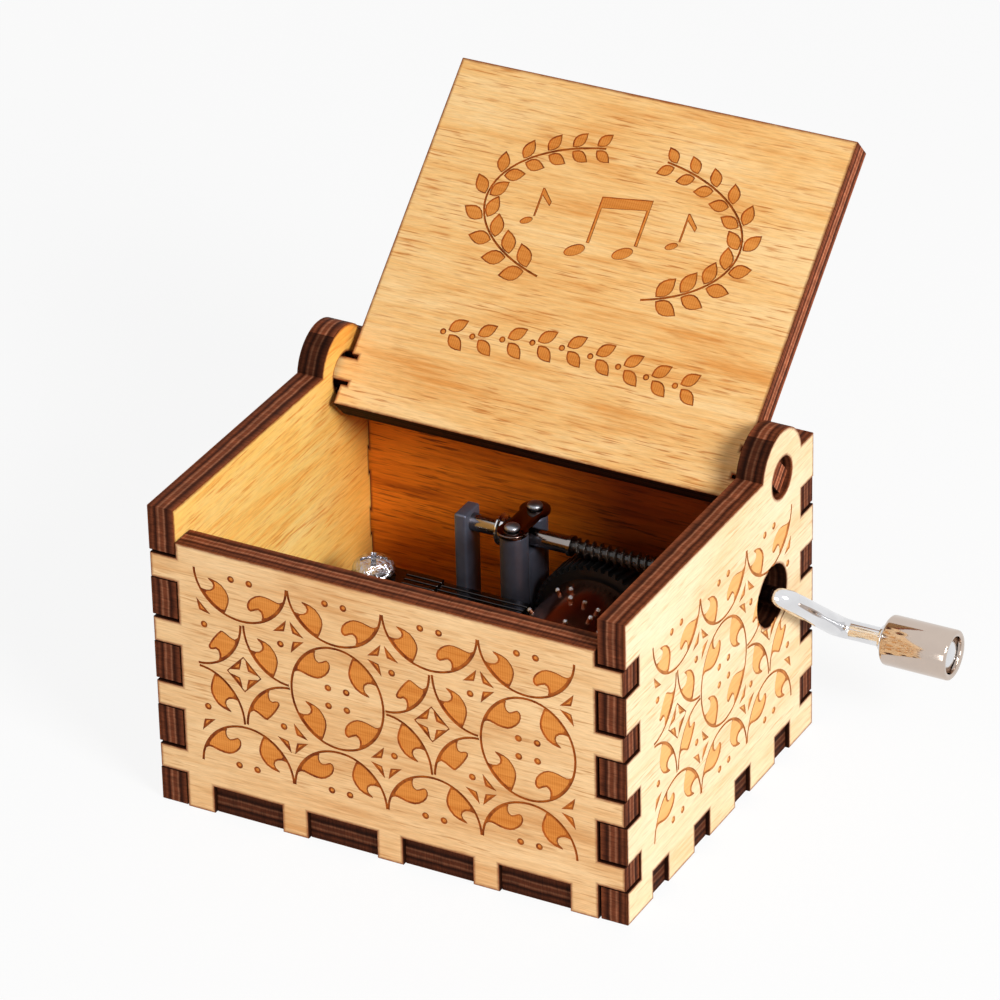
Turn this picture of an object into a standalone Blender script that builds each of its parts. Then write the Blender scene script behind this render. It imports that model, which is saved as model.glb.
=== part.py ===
# Hand crank music box: finger-jointed plywood case, hinged lid and an 18-note movement.
# Metres, +Z up. The origin is the centre of the underside, the front is -Y and the crank is at +X.

import math

import bmesh
import bpy
from mathutils import Matrix, Vector

# Case
box_width = 0.0640
box_height = 0.0415
front_room = 0.00386
rear_room = 0.0032
ply = 0.0036
kerf = 0.0002
lid_front_gap = 0.0006
finger_count = 4
finger_first = 0.0048
finger_height = 0.0034
finger_top_margin = 0.0021
long_tab_count = 4
long_tab_width = 0.0091
long_tab_pitch = 0.0131
short_tab_count = 4
short_tab_width = 0.0036
short_tab_pitch = 0.0111

# Lid and its hinge
hinge_setback = 0.0090
ear_radius = 0.0055
ear_rise = 0.0009
ear_hole_radius = 0.0027
lid_overhang = 0.0011
lid_tail = 0.0047
lid_side_gap = 0.0010
lid_tab_width = 0.0031
lid_tab_recess = 0.0004
relief_width = 0.0005
relief_depth = 0.0009
lid_open_angle = math.radians(138.0)

# Clearances
seat_gap = 0.0003
running_gap = 0.0002
overrun = 0.0010

# Worm and gear
shaft_radius = 0.00115
thread_radius = 0.00125
thread_depth = 0.00045
thread_pitch = 0.00104
thread_turns = 13
thread_before_drum = 0.0041
thread_addendum = 0.00017
gear_teeth = 52
gear_width = 0.0040
gear_floor_gap = 0.00048
gear_addendum = 0.00013
gear_tooth_depth = 0.00060
gear_boss_length = 0.0012
gear_recess_radius = 0.0066
gear_recess_depth = 0.0012
gear_hub_radius = 0.0026

# Cylinder
drum_x = 0.0090
drum_radius = 0.0071
drum_wall = 0.0008
drum_margin = 0.0005
cap_thickness = 0.0014
arbor_radius = 0.0010
arbor_end = 0.0004
pin_radius = 0.0002
pin_height = 0.0006
tune_steps = 48

# Comb
tooth_count = 18
tooth_pitch = 0.00103
slot_width = 0.00028
comb_length = 0.0235
comb_thickness = 0.0012
tooth_thickness = 0.0008
comb_rise = 0.0038
pin_clearance = 0.0002
comb_post_gap = 0.0004
bass_root = 0.0065
treble_root = 0.0105
weight_count = 6
weight_length = 0.0050
weight_width = 0.0006
weight_drop = 0.0012
relief_setback = 0.0010
comb_screw_inset = 0.0028
comb_screw_side = 0.0023
comb_screw_head = 0.0023
comb_screw_crown = 0.0017
comb_screw_shank = 0.0012
comb_screw_depth = 0.0060
slot_cut_width = 0.0006
slot_cut_depth = 0.0006

# Bed casting
bed_plate = 0.0018
bed_corner = 0.0020
bed_left_margin = 0.0010
bed_right_margin = 0.0003
bed_front_margin = 0.0006
bed_rear_margin = 0.0006
comb_block_length = 0.0060
post_spacing = 0.0080
post_thickness = 0.0017
post_depth = 0.0038
post_cover = 0.0005
column_gear_gap = 0.00036
column_radius = 0.0019
column_spacing = 0.0060
column_rise = 0.0013
web_thickness = 0.0030
web_drop = 0.0020
upright_width = 0.0060
upright_thickness = 0.0018
upright_cover = 0.0026
boss_radius = 0.0022
boss_height = 0.0020

# Clamp plate and rivets
clamp_thickness = 0.0006
clamp_radius = 0.0020
clamp_waist = 0.0031
rivet_shank = 0.0006
rivet_head = 0.0010
rivet_crown = 0.0007
rivet_depth = 0.0030

# Front bearing plate
plate_thickness = 0.0012
plate_drum_gap = 0.0007
plate_foot_width = 0.0090
plate_foot_length = 0.0050
plate_screw_spacing = 0.0050
plate_screw_head = 0.0012
plate_screw_crown = 0.0008
plate_screw_shank = 0.0006

# Screws from below
mount_screw_inset = 0.0025
mount_boss_inset = 0.0035
mount_screw_spacing = 0.0110
mount_screw_head = 0.0022
mount_screw_cone = 0.0014
mount_screw_shank = 0.0010
mount_screw_length = 0.0062

# Crank rod and knob
crank_hole_radius = 0.0040
collar_radius = 0.0021
collar_width = 0.0011
collar_post_gap = 0.0003
flange_radius = 0.00135
flange_width = 0.0005
rod_radius = 0.0012
arm_radius = 0.00135
arm_wall_gap = 0.00045
arm_lean = 0.0012
crank_throw = 0.0168
crank_angle = math.radians(-39.5)
bend_radius = 0.0018
spindle_length = 0.0066
knob_radius = 0.0032
knob_length = 0.0089
knob_round = 0.0004
knob_recess_radius = 0.0023
knob_recess_depth = 0.0012
crimp_radius = 0.00165
crimp_width = 0.0006
rod_head_radius = 0.00175
rod_head_width = 0.0006

# Facets
round_steps = 24
rod_steps = 16
drum_steps = 48

# Sizes that follow from the ones above
comb_width = tooth_count * tooth_pitch
bearing_reach = (column_spacing / 2 + column_radius + comb_post_gap + comb_width + drum_margin
                 + plate_drum_gap + plate_thickness)
front_reach = bearing_reach + plate_foot_length + bed_front_margin
rear_reach = gear_width / 2 + seat_gap + running_gap + upright_thickness + bed_rear_margin
box_depth = front_room + front_reach + rear_reach + rear_room + 2 * ply
half_width = box_width / 2
half_depth = box_depth / 2
inner_half_width = half_width - ply
front_wall_height = box_height - ply - lid_front_gap
finger_pitch = (front_wall_height - finger_first - finger_height - finger_top_margin) / (finger_count - 1)
hinge_y = half_depth - hinge_setback
hinge_z = box_height - ply / 2
bed_bottom = ply + seat_gap
bed_top = bed_bottom + bed_plate
thread_core = thread_radius - thread_depth
thread_pitch_radius = thread_radius - thread_addendum
gear_pitch_radius = gear_teeth * thread_pitch / (2 * math.pi)
gear_tip_radius = gear_pitch_radius + gear_addendum
gear_root_radius = gear_tip_radius - gear_tooth_depth
drum_height = bed_top + gear_floor_gap + gear_tip_radius
shaft_height = drum_height + gear_pitch_radius + thread_pitch_radius
shaft_y = half_depth - ply - rear_room - rear_reach
thread_start = drum_x - thread_before_drum
thread_end = thread_start + thread_turns * thread_pitch
gear_front = shaft_y - gear_width / 2
gear_rear = shaft_y + gear_width / 2
drum_rear = gear_front - seat_gap
column_x = drum_x - gear_tip_radius - column_gear_gap - column_radius
column_front = shaft_y - column_spacing / 2
column_rear = shaft_y + column_spacing / 2
column_top = shaft_height + column_rise
clamp_bottom = column_top + seat_gap
post_x = column_x - post_spacing
comb_rear = column_front - column_radius - comb_post_gap
comb_y = comb_rear - comb_width / 2
drum_front = comb_rear - comb_width - drum_margin
comb_top = drum_height + comb_rise
comb_bottom = comb_top - comb_thickness
pin_reach = drum_radius + pin_height + pin_clearance
comb_tip = drum_x - math.sqrt(pin_reach ** 2 - (comb_bottom - drum_height) ** 2)
comb_left = comb_tip - comb_length
block_top = comb_bottom - seat_gap
comb_screw_x = comb_left + comb_screw_inset
comb_screw_offset = comb_width / 2 - comb_screw_side
upright_front = gear_rear + seat_gap + running_gap
upright_rear = upright_front + upright_thickness
bearing_front = shaft_y - bearing_reach
bearing_rear = bearing_front + plate_thickness
plate_screw_y = bearing_front - plate_foot_length / 2
boss_x = drum_x + plate_foot_width / 2 + seat_gap + boss_radius
bed_left = comb_left - bed_left_margin
bed_right = boss_x + boss_radius + bed_right_margin
bed_front = shaft_y - front_reach
bed_rear = shaft_y + rear_reach
mount_screw_places = ((comb_left + mount_screw_inset, comb_y - mount_screw_spacing / 2),
                      (comb_left + mount_screw_inset, comb_y + mount_screw_spacing / 2),
                      (boss_x, bed_front + mount_boss_inset))
crank_direction = Vector((0.0, math.cos(crank_angle), math.sin(crank_angle)))
knob_left = half_width + arm_wall_gap + arm_radius + arm_lean + spindle_length
knob_right = knob_left + knob_length


def collection(name):
    found = bpy.data.collections.new(name)
    bpy.context.scene.collection.children.link(found)
    return found


def material(name, colour, roughness, metallic):
    made = bpy.data.materials.new(name)
    made.use_nodes = True
    shader = made.node_tree.nodes["Principled BSDF"]
    shader.inputs["Base Color"].default_value = (*colour, 1.0)
    shader.inputs["Roughness"].default_value = roughness
    shader.inputs["Metallic"].default_value = metallic
    return made


def add_object(name, mesh, finish=None):
    """Link a mesh as a part with a finish, or as a cutter without one."""
    made = bpy.data.objects.new(name, mesh)
    if finish is None:
        cutters.objects.link(made)
        made.hide_render = True
        made.display_type = "WIRE"
    else:
        parts.objects.link(made)
        made.data.materials.append(finish)
    return made


def mesh_from(shape, name):
    mesh = bpy.data.meshes.new(name)
    shape.to_mesh(mesh)
    shape.free()
    return mesh


def at(x, y, z):
    return Matrix.Translation((x, y, z))


def smooth(made):
    """Shade a round piece smooth up to its sharp edges."""
    made.data.shade_smooth()
    made.data.set_sharp_from_angle(angle=sharp_angle)
    return made


def boxes(name, spans, finish=None):
    """One mesh of separate boxes, each from its low to its high corner."""
    shape = bmesh.new()
    for low, high in spans:
        size = Matrix.Diagonal([b - a for a, b in zip(low, high)] + [1.0])
        middle = at(*((a + b) / 2 for a, b in zip(low, high)))
        bmesh.ops.create_cube(shape, size=1.0, matrix=middle @ size)
    return add_object(name, mesh_from(shape, name), finish)


def box(name, low, high, finish=None):
    return boxes(name, [(low, high)], finish)


def rod(name, start, end, radius, finish=None, end_radius=None, steps=round_steps):
    """A cylinder, or a cone with end_radius, between two points."""
    start, end = Vector(start), Vector(end)
    shape = bmesh.new()
    bmesh.ops.create_cone(
        shape, cap_ends=True, segments=steps, radius1=radius,
        radius2=radius if end_radius is None else end_radius, depth=(end - start).length)
    turn = (end - start).to_track_quat("Z", "Y").to_matrix().to_4x4()
    shape.transform(Matrix.Translation((start + end) / 2) @ turn)
    return smooth(add_object(name, mesh_from(shape, name), finish))


def panel(name, outlines, thickness, placing, finish=None):
    """A flat panel from 2D outlines: the first is its edge and the others are its holes."""
    curve = bpy.data.curves.new(name, "CURVE")
    curve.dimensions = "2D"
    curve.fill_mode = "BOTH"
    curve.extrude = thickness / 2
    for outline in outlines:
        spline = curve.splines.new("POLY")
        spline.points.add(len(outline) - 1)
        for point, (across, up) in zip(spline.points, outline):
            point.co = (across, up, 0.0, 1.0)
        spline.use_cyclic_u = True
    drawn = bpy.data.objects.new(name + "_outline", curve)
    bpy.context.scene.collection.objects.link(drawn)
    bpy.context.view_layer.update()
    solid = bpy.data.meshes.new_from_object(drawn.evaluated_get(bpy.context.evaluated_depsgraph_get()))
    bpy.data.objects.remove(drawn)
    shape = bmesh.new()
    shape.from_mesh(solid)
    bmesh.ops.remove_doubles(shape, verts=shape.verts, dist=weld)
    bmesh.ops.dissolve_limit(shape, angle_limit=flat_angle, verts=shape.verts, edges=shape.edges)
    bmesh.ops.recalc_face_normals(shape, faces=shape.faces)
    shape.transform(placing)
    return add_object(name, mesh_from(shape, name), finish)


def turned(name, profile, placing, finish=None, steps=round_steps):
    """A turned piece: profile points (radius, height) run down its outer side, top to bottom."""
    shape = bmesh.new()
    closed = profile[0] == profile[-1]
    outline = profile[:-1] if closed else profile
    points = [shape.verts.new((radius, 0.0, height)) for radius, height in outline]
    for first, second in zip(points, points[1:]):
        shape.edges.new((first, second))
    if closed:
        shape.edges.new((points[-1], points[0]))
    made = add_object(name, mesh_from(shape, name), finish)
    turning = made.modifiers.new("turning", "SCREW")
    turning.steps = steps
    turning.render_steps = steps
    turning.use_merge_vertices = True
    turning.merge_threshold = weld
    made.matrix_world = placing
    return made


def combine(target, operation, *tools):
    for tool in tools:
        step = target.modifiers.new(tool.name, "BOOLEAN")
        step.operation = operation
        step.solver = "EXACT"
        step.object = tool


def circle(centre, radius, steps=round_steps):
    angles = [2 * math.pi * i / steps for i in range(steps)]
    return [(centre[0] + radius * math.cos(a), centre[1] + radius * math.sin(a)) for a in angles]


def arc(centre, radius, start, end, steps):
    angles = [start + (end - start) * i / steps for i in range(steps + 1)]
    return [(centre[0] + radius * math.cos(a), centre[1] + radius * math.sin(a)) for a in angles]


def spread(count, pitch):
    """Places of a row of things about its middle."""
    return [(i - (count - 1) / 2) * pitch for i in range(count)]


def gaps_between(places, width, start, end):
    """The spans that a row of tabs leaves open from start to end."""
    edges = [start]
    for place in places:
        edges += [place - width / 2, place + width / 2]
    edges.append(end)
    return list(zip(edges[::2], edges[1::2]))


def finger_bands():
    firsts = [finger_first + i * finger_pitch for i in range(finger_count)]
    return [(first, first + finger_height) for first in firsts]


def build_base():
    """Bottom panel: notches cut into its four edges leave its tabs standing."""
    base = box("bottom_panel", (-half_width, -half_depth, 0.0), (half_width, half_depth, ply), plywood)
    side, end = inner_half_width - kerf, half_depth - ply - kerf
    long_notches, short_notches = [], []
    for low, high in gaps_between(spread(long_tab_count, long_tab_pitch), long_tab_width,
                                  -half_width - overrun, half_width + overrun):
        for near, far in ((-half_depth - overrun, -end), (end, half_depth + overrun)):
            long_notches.append(((low, near, -overrun), (high, far, ply + overrun)))
    for low, high in gaps_between(spread(short_tab_count, short_tab_pitch), short_tab_width,
                                  -half_depth - overrun, half_depth + overrun):
        for near, far in ((-half_width - overrun, -side), (side, half_width + overrun)):
            short_notches.append(((near, low, -overrun), (far, high, ply + overrun)))
    combine(base, "DIFFERENCE", boxes("long_notches", long_notches), boxes("short_notches", short_notches))
    bore = mount_screw_shank + running_gap
    flare = (mount_screw_head - mount_screw_shank) / mount_screw_cone
    profile = [(0.0, ply + overrun), (bore, ply + overrun), (bore, mount_screw_cone + seat_gap),
               (bore + flare * (mount_screw_cone + seat_gap + overrun), -overrun), (0.0, -overrun)]
    for i, (x, y) in enumerate(mount_screw_places):
        combine(base, "DIFFERENCE",
                turned("screw_hole_%d" % (i + 1), profile, at(x, y, 0.0)))


def build_end_wall(name, height, outer_y, inner_y):
    """Front or rear wall: fingers at both ends, sockets for the base's tabs below."""
    near, far = min(outer_y, inner_y), max(outer_y, inner_y)
    body = inner_half_width - kerf
    wall = box(name, (-body, near, 0.0), (body, far, height), plywood)
    fingers = boxes(name + "_fingers", [
        ((-half_width, near, low), (half_width, far, high)) for low, high in finger_bands()])
    sockets = boxes(name + "_sockets", [
        ((x - long_tab_width / 2 - kerf, near - overrun, -overrun),
         (x + long_tab_width / 2 + kerf, far + overrun, ply + kerf))
        for x in spread(long_tab_count, long_tab_pitch)])
    combine(wall, "UNION", fingers)
    combine(wall, "DIFFERENCE", sockets)


def build_side_wall(name, side):
    """Left or right wall: sockets for the fingers and the base's tabs, and the hinge ear on its top edge."""
    outer, inner = side * half_width, side * inner_half_width
    near, far = min(outer, inner), max(outer, inner)
    wall = box(name, (near, -half_depth, 0.0), (far, half_depth, box_height), pale_plywood)
    ear_z = hinge_z + ear_rise
    ear = rod(name + "_ear", (near, hinge_y, ear_z), (far, hinge_y, ear_z), ear_radius,
              steps=2 * round_steps)
    combine(wall, "UNION", ear)
    reach = half_depth - ply - kerf
    finger_sockets = []
    for low, high in finger_bands():
        for front, back in ((-half_depth - overrun, -reach), (reach, half_depth + overrun)):
            finger_sockets.append(((near - overrun, front, low - kerf), (far + overrun, back, high + kerf)))
    tab_sockets = [
        ((near - overrun, y - short_tab_width / 2 - kerf, -overrun),
         (far + overrun, y + short_tab_width / 2 + kerf, ply + kerf))
        for y in spread(short_tab_count, short_tab_pitch)]
    holes = [boxes(name + "_sockets", finger_sockets + tab_sockets),
             rod(name + "_ear_hole", (near - overrun, hinge_y, hinge_z), (far + overrun, hinge_y, hinge_z),
                 ear_hole_radius)]
    if side > 0:
        holes.append(rod("crank_hole", (near - overrun, shaft_y, shaft_height),
                         (far + overrun, shaft_y, shaft_height), crank_hole_radius))
    combine(wall, "DIFFERENCE", *holes)


def build_case():
    build_base()
    build_end_wall("front_wall", front_wall_height, -half_depth, ply - half_depth)
    build_end_wall("rear_wall", box_height, half_depth, half_depth - ply)
    build_side_wall("left_wall", -1)
    build_side_wall("right_wall", 1)


def build_lid():
    """Lid about its hinge axis: closed, its front edge is at -Y, and a square tab stands at each side."""
    hinge = bpy.data.objects.new("lid_hinge", None)
    parts.objects.link(hinge)
    hinge.location = (0.0, hinge_y, hinge_z)
    hinge.rotation_euler = (-lid_open_angle, 0.0, 0.0)
    side = inner_half_width - lid_side_gap
    tab_end = half_width - lid_tab_recess
    front = hinge_y + half_depth + lid_overhang
    half_tab = lid_tab_width / 2
    beside = half_tab + relief_width / 2
    bottom, top = -ply / 2 - overrun, ply / 2 + overrun
    lid = box("lid_panel", (-tab_end, -front, -ply / 2), (tab_end, lid_tail, ply / 2), plywood)
    strips, reliefs = [], []
    for near, far in ((-tab_end - overrun, -side), (side, tab_end + overrun)):
        strips += [((near, -front - overrun, bottom), (far, -beside, top)),
                   ((near, beside, bottom), (far, lid_tail + overrun, top))]
    for near, far in ((-tab_end - overrun, relief_depth - side), (side - relief_depth, tab_end + overrun)):
        reliefs += [((near, -half_tab - relief_width, bottom), (far, -half_tab, top)),
                    ((near, half_tab, bottom), (far, half_tab + relief_width, top))]
    sides, notches = boxes("lid_sides", strips), boxes("lid_reliefs", reliefs)
    combine(lid, "DIFFERENCE", sides, notches)
    for piece in (lid, sides, notches):
        piece.parent = hinge


def build_bed():
    corners = []
    for x, y, first in ((bed_right, bed_rear, 0), (bed_left, bed_rear, 1), (bed_left, bed_front, 2),
                        (bed_right, bed_front, 3)):
        centre = (x - math.copysign(bed_corner, x), y - math.copysign(bed_corner, y))
        corners += arc(centre, bed_corner, first * math.pi / 2, (first + 1) * math.pi / 2, round_steps // 6)
    bed = panel("movement_bed", [corners], bed_plate, at(0.0, 0.0, bed_bottom + bed_plate / 2), casting)
    sunk = bed_bottom + bed_plate / 2
    block = box("comb_block", (comb_left, comb_rear - comb_width, sunk),
                (comb_left + comb_block_length, comb_rear, block_top))
    post_top = shaft_height + shaft_radius + post_cover
    post = box("shaft_post", (post_x - post_thickness / 2, shaft_y - post_depth / 2, sunk),
               (post_x + post_thickness / 2, shaft_y + post_depth / 2, post_top))
    softened = post.modifiers.new("edges", "BEVEL")
    softened.width = post_thickness / 4
    softened.segments = 2
    columns = [
        rod("column_%d" % (i + 1), (column_x, y, sunk), (column_x, y, column_top), column_radius)
        for i, y in enumerate((column_front, column_rear))]
    web = box("column_web", (column_x - web_thickness / 2, column_front, sunk),
              (column_x + web_thickness / 2, column_rear, shaft_height - web_drop))
    upright = panel(
        "rear_upright", [upright_outline(drum_height - sunk, upright_cover)], upright_thickness,
        at(drum_x, upright_front + upright_thickness / 2, sunk) @ Matrix.Rotation(math.pi / 2, 4, "X"))
    x, y = mount_screw_places[-1]
    boss = rod("screw_boss", (x, y, sunk), (x, y, bed_top + boss_height), boss_radius)
    combine(bed, "UNION", block, post, web, *columns, upright, boss)

    holes = [
        rod("post_bore", (post_x - post_thickness, shaft_y, shaft_height),
            (post_x + post_thickness, shaft_y, shaft_height), shaft_radius + running_gap),
        rod("arbor_bore", (drum_x, upright_front - overrun, drum_height),
            (drum_x, upright_rear + overrun, drum_height), arbor_radius + running_gap)]
    for i, y in enumerate((column_front, column_rear)):
        holes.append(rod("rivet_bore_%d" % (i + 1), (column_x, y, column_top - rivet_depth - seat_gap),
                         (column_x, y, column_top + overrun), rivet_shank + running_gap))
    for i, side in enumerate(spread(2, 2 * comb_screw_offset)):
        holes.append(rod("comb_screw_bore_%d" % (i + 1),
                         (comb_screw_x, comb_y + side, comb_top - comb_screw_depth - 2 * seat_gap),
                         (comb_screw_x, comb_y + side, block_top + overrun), comb_screw_shank + running_gap))
    for i, (x, y) in enumerate(mount_screw_places):
        holes.append(rod("mount_bore_%d" % (i + 1), (x, y, bed_bottom - overrun),
                         (x, y, mount_screw_length + seat_gap), mount_screw_shank + running_gap))
    for i, side in enumerate(spread(2, plate_screw_spacing)):
        holes.append(rod("plate_bore_%d" % (i + 1), (drum_x + side, plate_screw_y, bed_bottom - overrun),
                         (drum_x + side, plate_screw_y, bed_top + overrun), plate_screw_shank + running_gap))
    combine(bed, "DIFFERENCE", *holes)


def upright_outline(axis_height, cover):
    """A bearing upright with a round top, about the cylinder's axis, from its foot at zero."""
    half = upright_width / 2
    top = axis_height + cover - half
    return [(-half, 0.0), (half, 0.0)] + arc((0.0, top), half, 0.0, math.pi, round_steps // 2)


def build_bearing_plate():
    """The sheet metal bracket that carries the arbor in front, and its two screws."""
    foot_bottom = bed_top + seat_gap
    upright = panel(
        "front_bearing_plate", [upright_outline(drum_height - foot_bottom, upright_cover)], plate_thickness,
        at(drum_x, (bearing_front + bearing_rear) / 2, foot_bottom) @ Matrix.Rotation(math.pi / 2, 4, "X"),
        steel)
    foot = box("plate_foot", (drum_x - plate_foot_width / 2, bearing_front - plate_foot_length, foot_bottom),
               (drum_x + plate_foot_width / 2, bearing_rear, foot_bottom + plate_thickness))
    combine(upright, "UNION", foot)
    bores = [rod("front_arbor_bore", (drum_x, bearing_front - overrun, drum_height),
                 (drum_x, bearing_rear + overrun, drum_height), arbor_radius + running_gap)]
    head_seat = foot_bottom + plate_thickness + seat_gap
    for name, side in zip(("left", "right"), spread(2, plate_screw_spacing)):
        x, y = drum_x + side, plate_screw_y
        bores.append(rod("foot_bore_" + name, (x, y, foot_bottom - overrun), (x, y, head_seat + overrun),
                         plate_screw_shank + running_gap))
        screw("plate_screw_" + name, (x, y, head_seat), plate_screw_head, plate_screw_crown,
              plate_screw_shank, head_seat - bed_bottom - seat_gap)
    combine(upright, "DIFFERENCE", *bores)


def dome(radius, low, high):
    """The profile of a domed head, from its top to its rim."""
    angles = [math.pi / 2 * i / dome_steps for i in range(dome_steps + 1)]
    return [(radius * math.sin(a), low + (high - low) * math.cos(a)) for a in angles]


def screw(name, seat, head, crown, shank, depth):
    """A domed, slotted screw whose head sits at seat, pointing down."""
    profile = dome(head, crown / 3, crown) + [(head, 0.0), (shank, 0.0), (shank, -depth), (0.0, -depth)]
    made = turned(name, profile, at(*seat), chrome, rod_steps)
    x, y, z = seat
    combine(made, "DIFFERENCE", box(
        name + "_slot", (x - head - overrun, y - slot_cut_width / 2, z + crown - slot_cut_depth),
        (x + head + overrun, y + slot_cut_width / 2, z + crown + overrun)))


def build_comb():
    """The steel comb: one plate, slotted into teeth, thinned on top and weighted below at the bass end."""
    left, right = comb_left, comb_tip
    front = comb_rear - comb_width
    points = [(left, comb_rear), (left, front)]
    for i in range(tooth_count):
        near, far = front + i * tooth_pitch, front + (i + 1) * tooth_pitch
        half_slot = slot_width / 2
        share = (i + 1) / tooth_count
        root = left + treble_root + (bass_root - treble_root) * share
        low = near if i == 0 else near + half_slot
        high = far if i == tooth_count - 1 else far - half_slot
        points += [(right, low), (right, high)]
        if i < tooth_count - 1:
            points += [(root, high), (root, high + slot_width)]
    screw_holes = [circle((comb_screw_x, comb_y + side), comb_screw_shank + running_gap, rod_steps)
                   for side in spread(2, 2 * comb_screw_offset)]
    comb = panel("comb", [points] + screw_holes, comb_thickness,
                 at(0.0, 0.0, (comb_top + comb_bottom) / 2), dark_steel)
    thin = box("comb_relief",
               (left + treble_root + relief_setback, front - overrun, comb_bottom + tooth_thickness),
               (right + overrun, comb_rear + overrun, comb_top + overrun))
    combine(comb, "DIFFERENCE", thin)
    for i in range(weight_count):
        middle = comb_rear - (i + 0.5) * tooth_pitch
        length = weight_length * (1 - i / (2 * weight_count))
        combine(comb, "UNION", box(
            "tooth_weight_%d" % (i + 1), (right - weight_width - length, middle - weight_width / 2,
                                          comb_bottom - weight_drop),
            (right - weight_width, middle + weight_width / 2, comb_bottom + tooth_thickness / 2)))
    for name, side in zip(("front", "rear"), spread(2, 2 * comb_screw_offset)):
        screw("comb_screw_" + name, (comb_screw_x, comb_y + side, comb_top + seat_gap), comb_screw_head,
              comb_screw_crown, comb_screw_shank, comb_screw_depth)


def tune_pins():
    """The tune as (step, track) pairs: a rolling figure with a slow bass under it."""
    pins = set()
    for step in range(tune_steps):
        pins.add((step, (5 * step + step * step // 7) % tooth_count))
        if step % 2 == 0:
            pins.add((step, (step // 4 * 3 + 9) % tooth_count))
        if step % 6 == 0:
            pins.add((step, tooth_count - 1 - step // 6 % 5))
    return sorted(pins)


def build_cylinder():
    """The pinned cylinder, its gear, end cap and arbor, which turn as one."""
    spindle = bpy.data.objects.new("cylinder_spindle", None)
    parts.objects.link(spindle)
    spindle.location = (drum_x, 0.0, drum_height)
    length = drum_rear - drum_front
    along = at(0.0, drum_rear, 0.0) @ Matrix.Rotation(-math.pi / 2, 4, "X")
    inner = drum_radius - drum_wall
    profile = [(inner, 0.0), (drum_radius, 0.0), (drum_radius, -length), (inner, -length), (inner, 0.0)]
    drum = turned("pinned_cylinder", profile, along, brass_steel, drum_steps)
    drum.parent = spindle
    shape = bmesh.new()
    for step, track in tune_pins():
        angle = 2 * math.pi * (step + pin_turn_share) / tune_steps
        y = comb_rear - comb_width + (track + 0.5) * tooth_pitch
        outward = Vector((math.cos(angle), 0.0, math.sin(angle)))
        middle = outward * (drum_radius + (pin_height - drum_wall / 2) / 2) + Vector((0.0, y, 0.0))
        turn = outward.to_track_quat("Z", "Y").to_matrix().to_4x4()
        bmesh.ops.create_cone(
            shape, cap_ends=True, segments=pin_sides, radius1=pin_radius, radius2=pin_radius,
            depth=pin_height + drum_wall / 2, matrix=at(*middle) @ turn)
    pins = add_object("cylinder_pins", mesh_from(shape, "cylinder_pins"))
    pins.parent = spindle
    combine(drum, "UNION", pins)

    cap_rear = drum_front + cap_thickness
    arbor_bore = arbor_radius + running_gap
    cap = rod("cylinder_end_cap", (0.0, drum_front, 0.0), (0.0, cap_rear, 0.0), inner - running_gap, chrome)
    bore = rod("cap_bore", (0.0, drum_front - overrun, 0.0), (0.0, cap_rear + overrun, 0.0), arbor_bore)
    arbor = rod("cylinder_arbor", (0.0, bearing_front - arbor_end, 0.0),
                (0.0, upright_rear + arbor_end, 0.0), arbor_radius, chrome, steps=rod_steps)
    combine(cap, "DIFFERENCE", bore)
    for piece in (cap, bore, arbor, build_gear(spindle, inner)):
        piece.parent = spindle


def build_gear(spindle, inner):
    """The worm gear: helical teeth that follow the worm's lead, lofted from its front to its rear face."""
    lead_slope = thread_pitch / (2 * math.pi * thread_pitch_radius)
    nearest_crest = worm_crest_offset()
    shape = bmesh.new()
    rings = []
    outline = ((gear_root_radius, -root_width_share), (gear_tip_radius, -tip_width_share),
               (gear_tip_radius, tip_width_share), (gear_root_radius, root_width_share))
    for y in (gear_front, gear_rear):
        ring = []
        for tooth in range(gear_teeth):
            middle = nearest_crest + (tooth + 0.5) * thread_pitch + (y - shaft_y) * lead_slope
            for radius, width_share in outline:
                angle = (middle + width_share / 2 * thread_pitch) / gear_pitch_radius
                ring.append(shape.verts.new((radius * math.sin(angle), y, radius * math.cos(angle))))
        rings.append(ring)
    count = len(rings[0])
    for i in range(count):
        j = (i + 1) % count
        shape.faces.new((rings[0][i], rings[0][j], rings[1][j], rings[1][i]))
    shape.faces.new(rings[0])
    shape.faces.new(rings[1])
    bmesh.ops.recalc_face_normals(shape, faces=shape.faces)
    gear = smooth(add_object("cylinder_gear", mesh_from(shape, "cylinder_gear"), black_plastic))
    boss_front, dish_floor = gear_front - gear_boss_length, gear_rear - gear_recess_depth
    boss = rod("gear_boss", (0.0, boss_front, 0.0), (0.0, gear_front + overrun, 0.0), inner - running_gap)
    dish = rod("gear_dish", (0.0, dish_floor, 0.0), (0.0, gear_rear + overrun, 0.0), gear_recess_radius)
    hub = rod("gear_hub", (0.0, dish_floor - overrun, 0.0), (0.0, gear_rear, 0.0), gear_hub_radius)
    bore = rod("gear_bore", (0.0, boss_front - overrun, 0.0), (0.0, gear_rear + overrun, 0.0),
               arbor_radius + running_gap)
    combine(gear, "UNION", boss)
    combine(gear, "DIFFERENCE", dish)
    combine(gear, "UNION", hub)
    combine(gear, "DIFFERENCE", bore)
    for tool in (boss, dish, hub, bore):
        tool.parent = spindle
    return gear


def worm_crest_offset():
    """Distance along X from the gear's axis to the worm crest that points straight down nearest to it."""
    down = (-math.pi / 2 - crank_angle) / (2 * math.pi)
    first = thread_start + (down + (crest_start_share + crest_end_share) / 2) * thread_pitch
    return (first - drum_x) % thread_pitch


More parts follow.
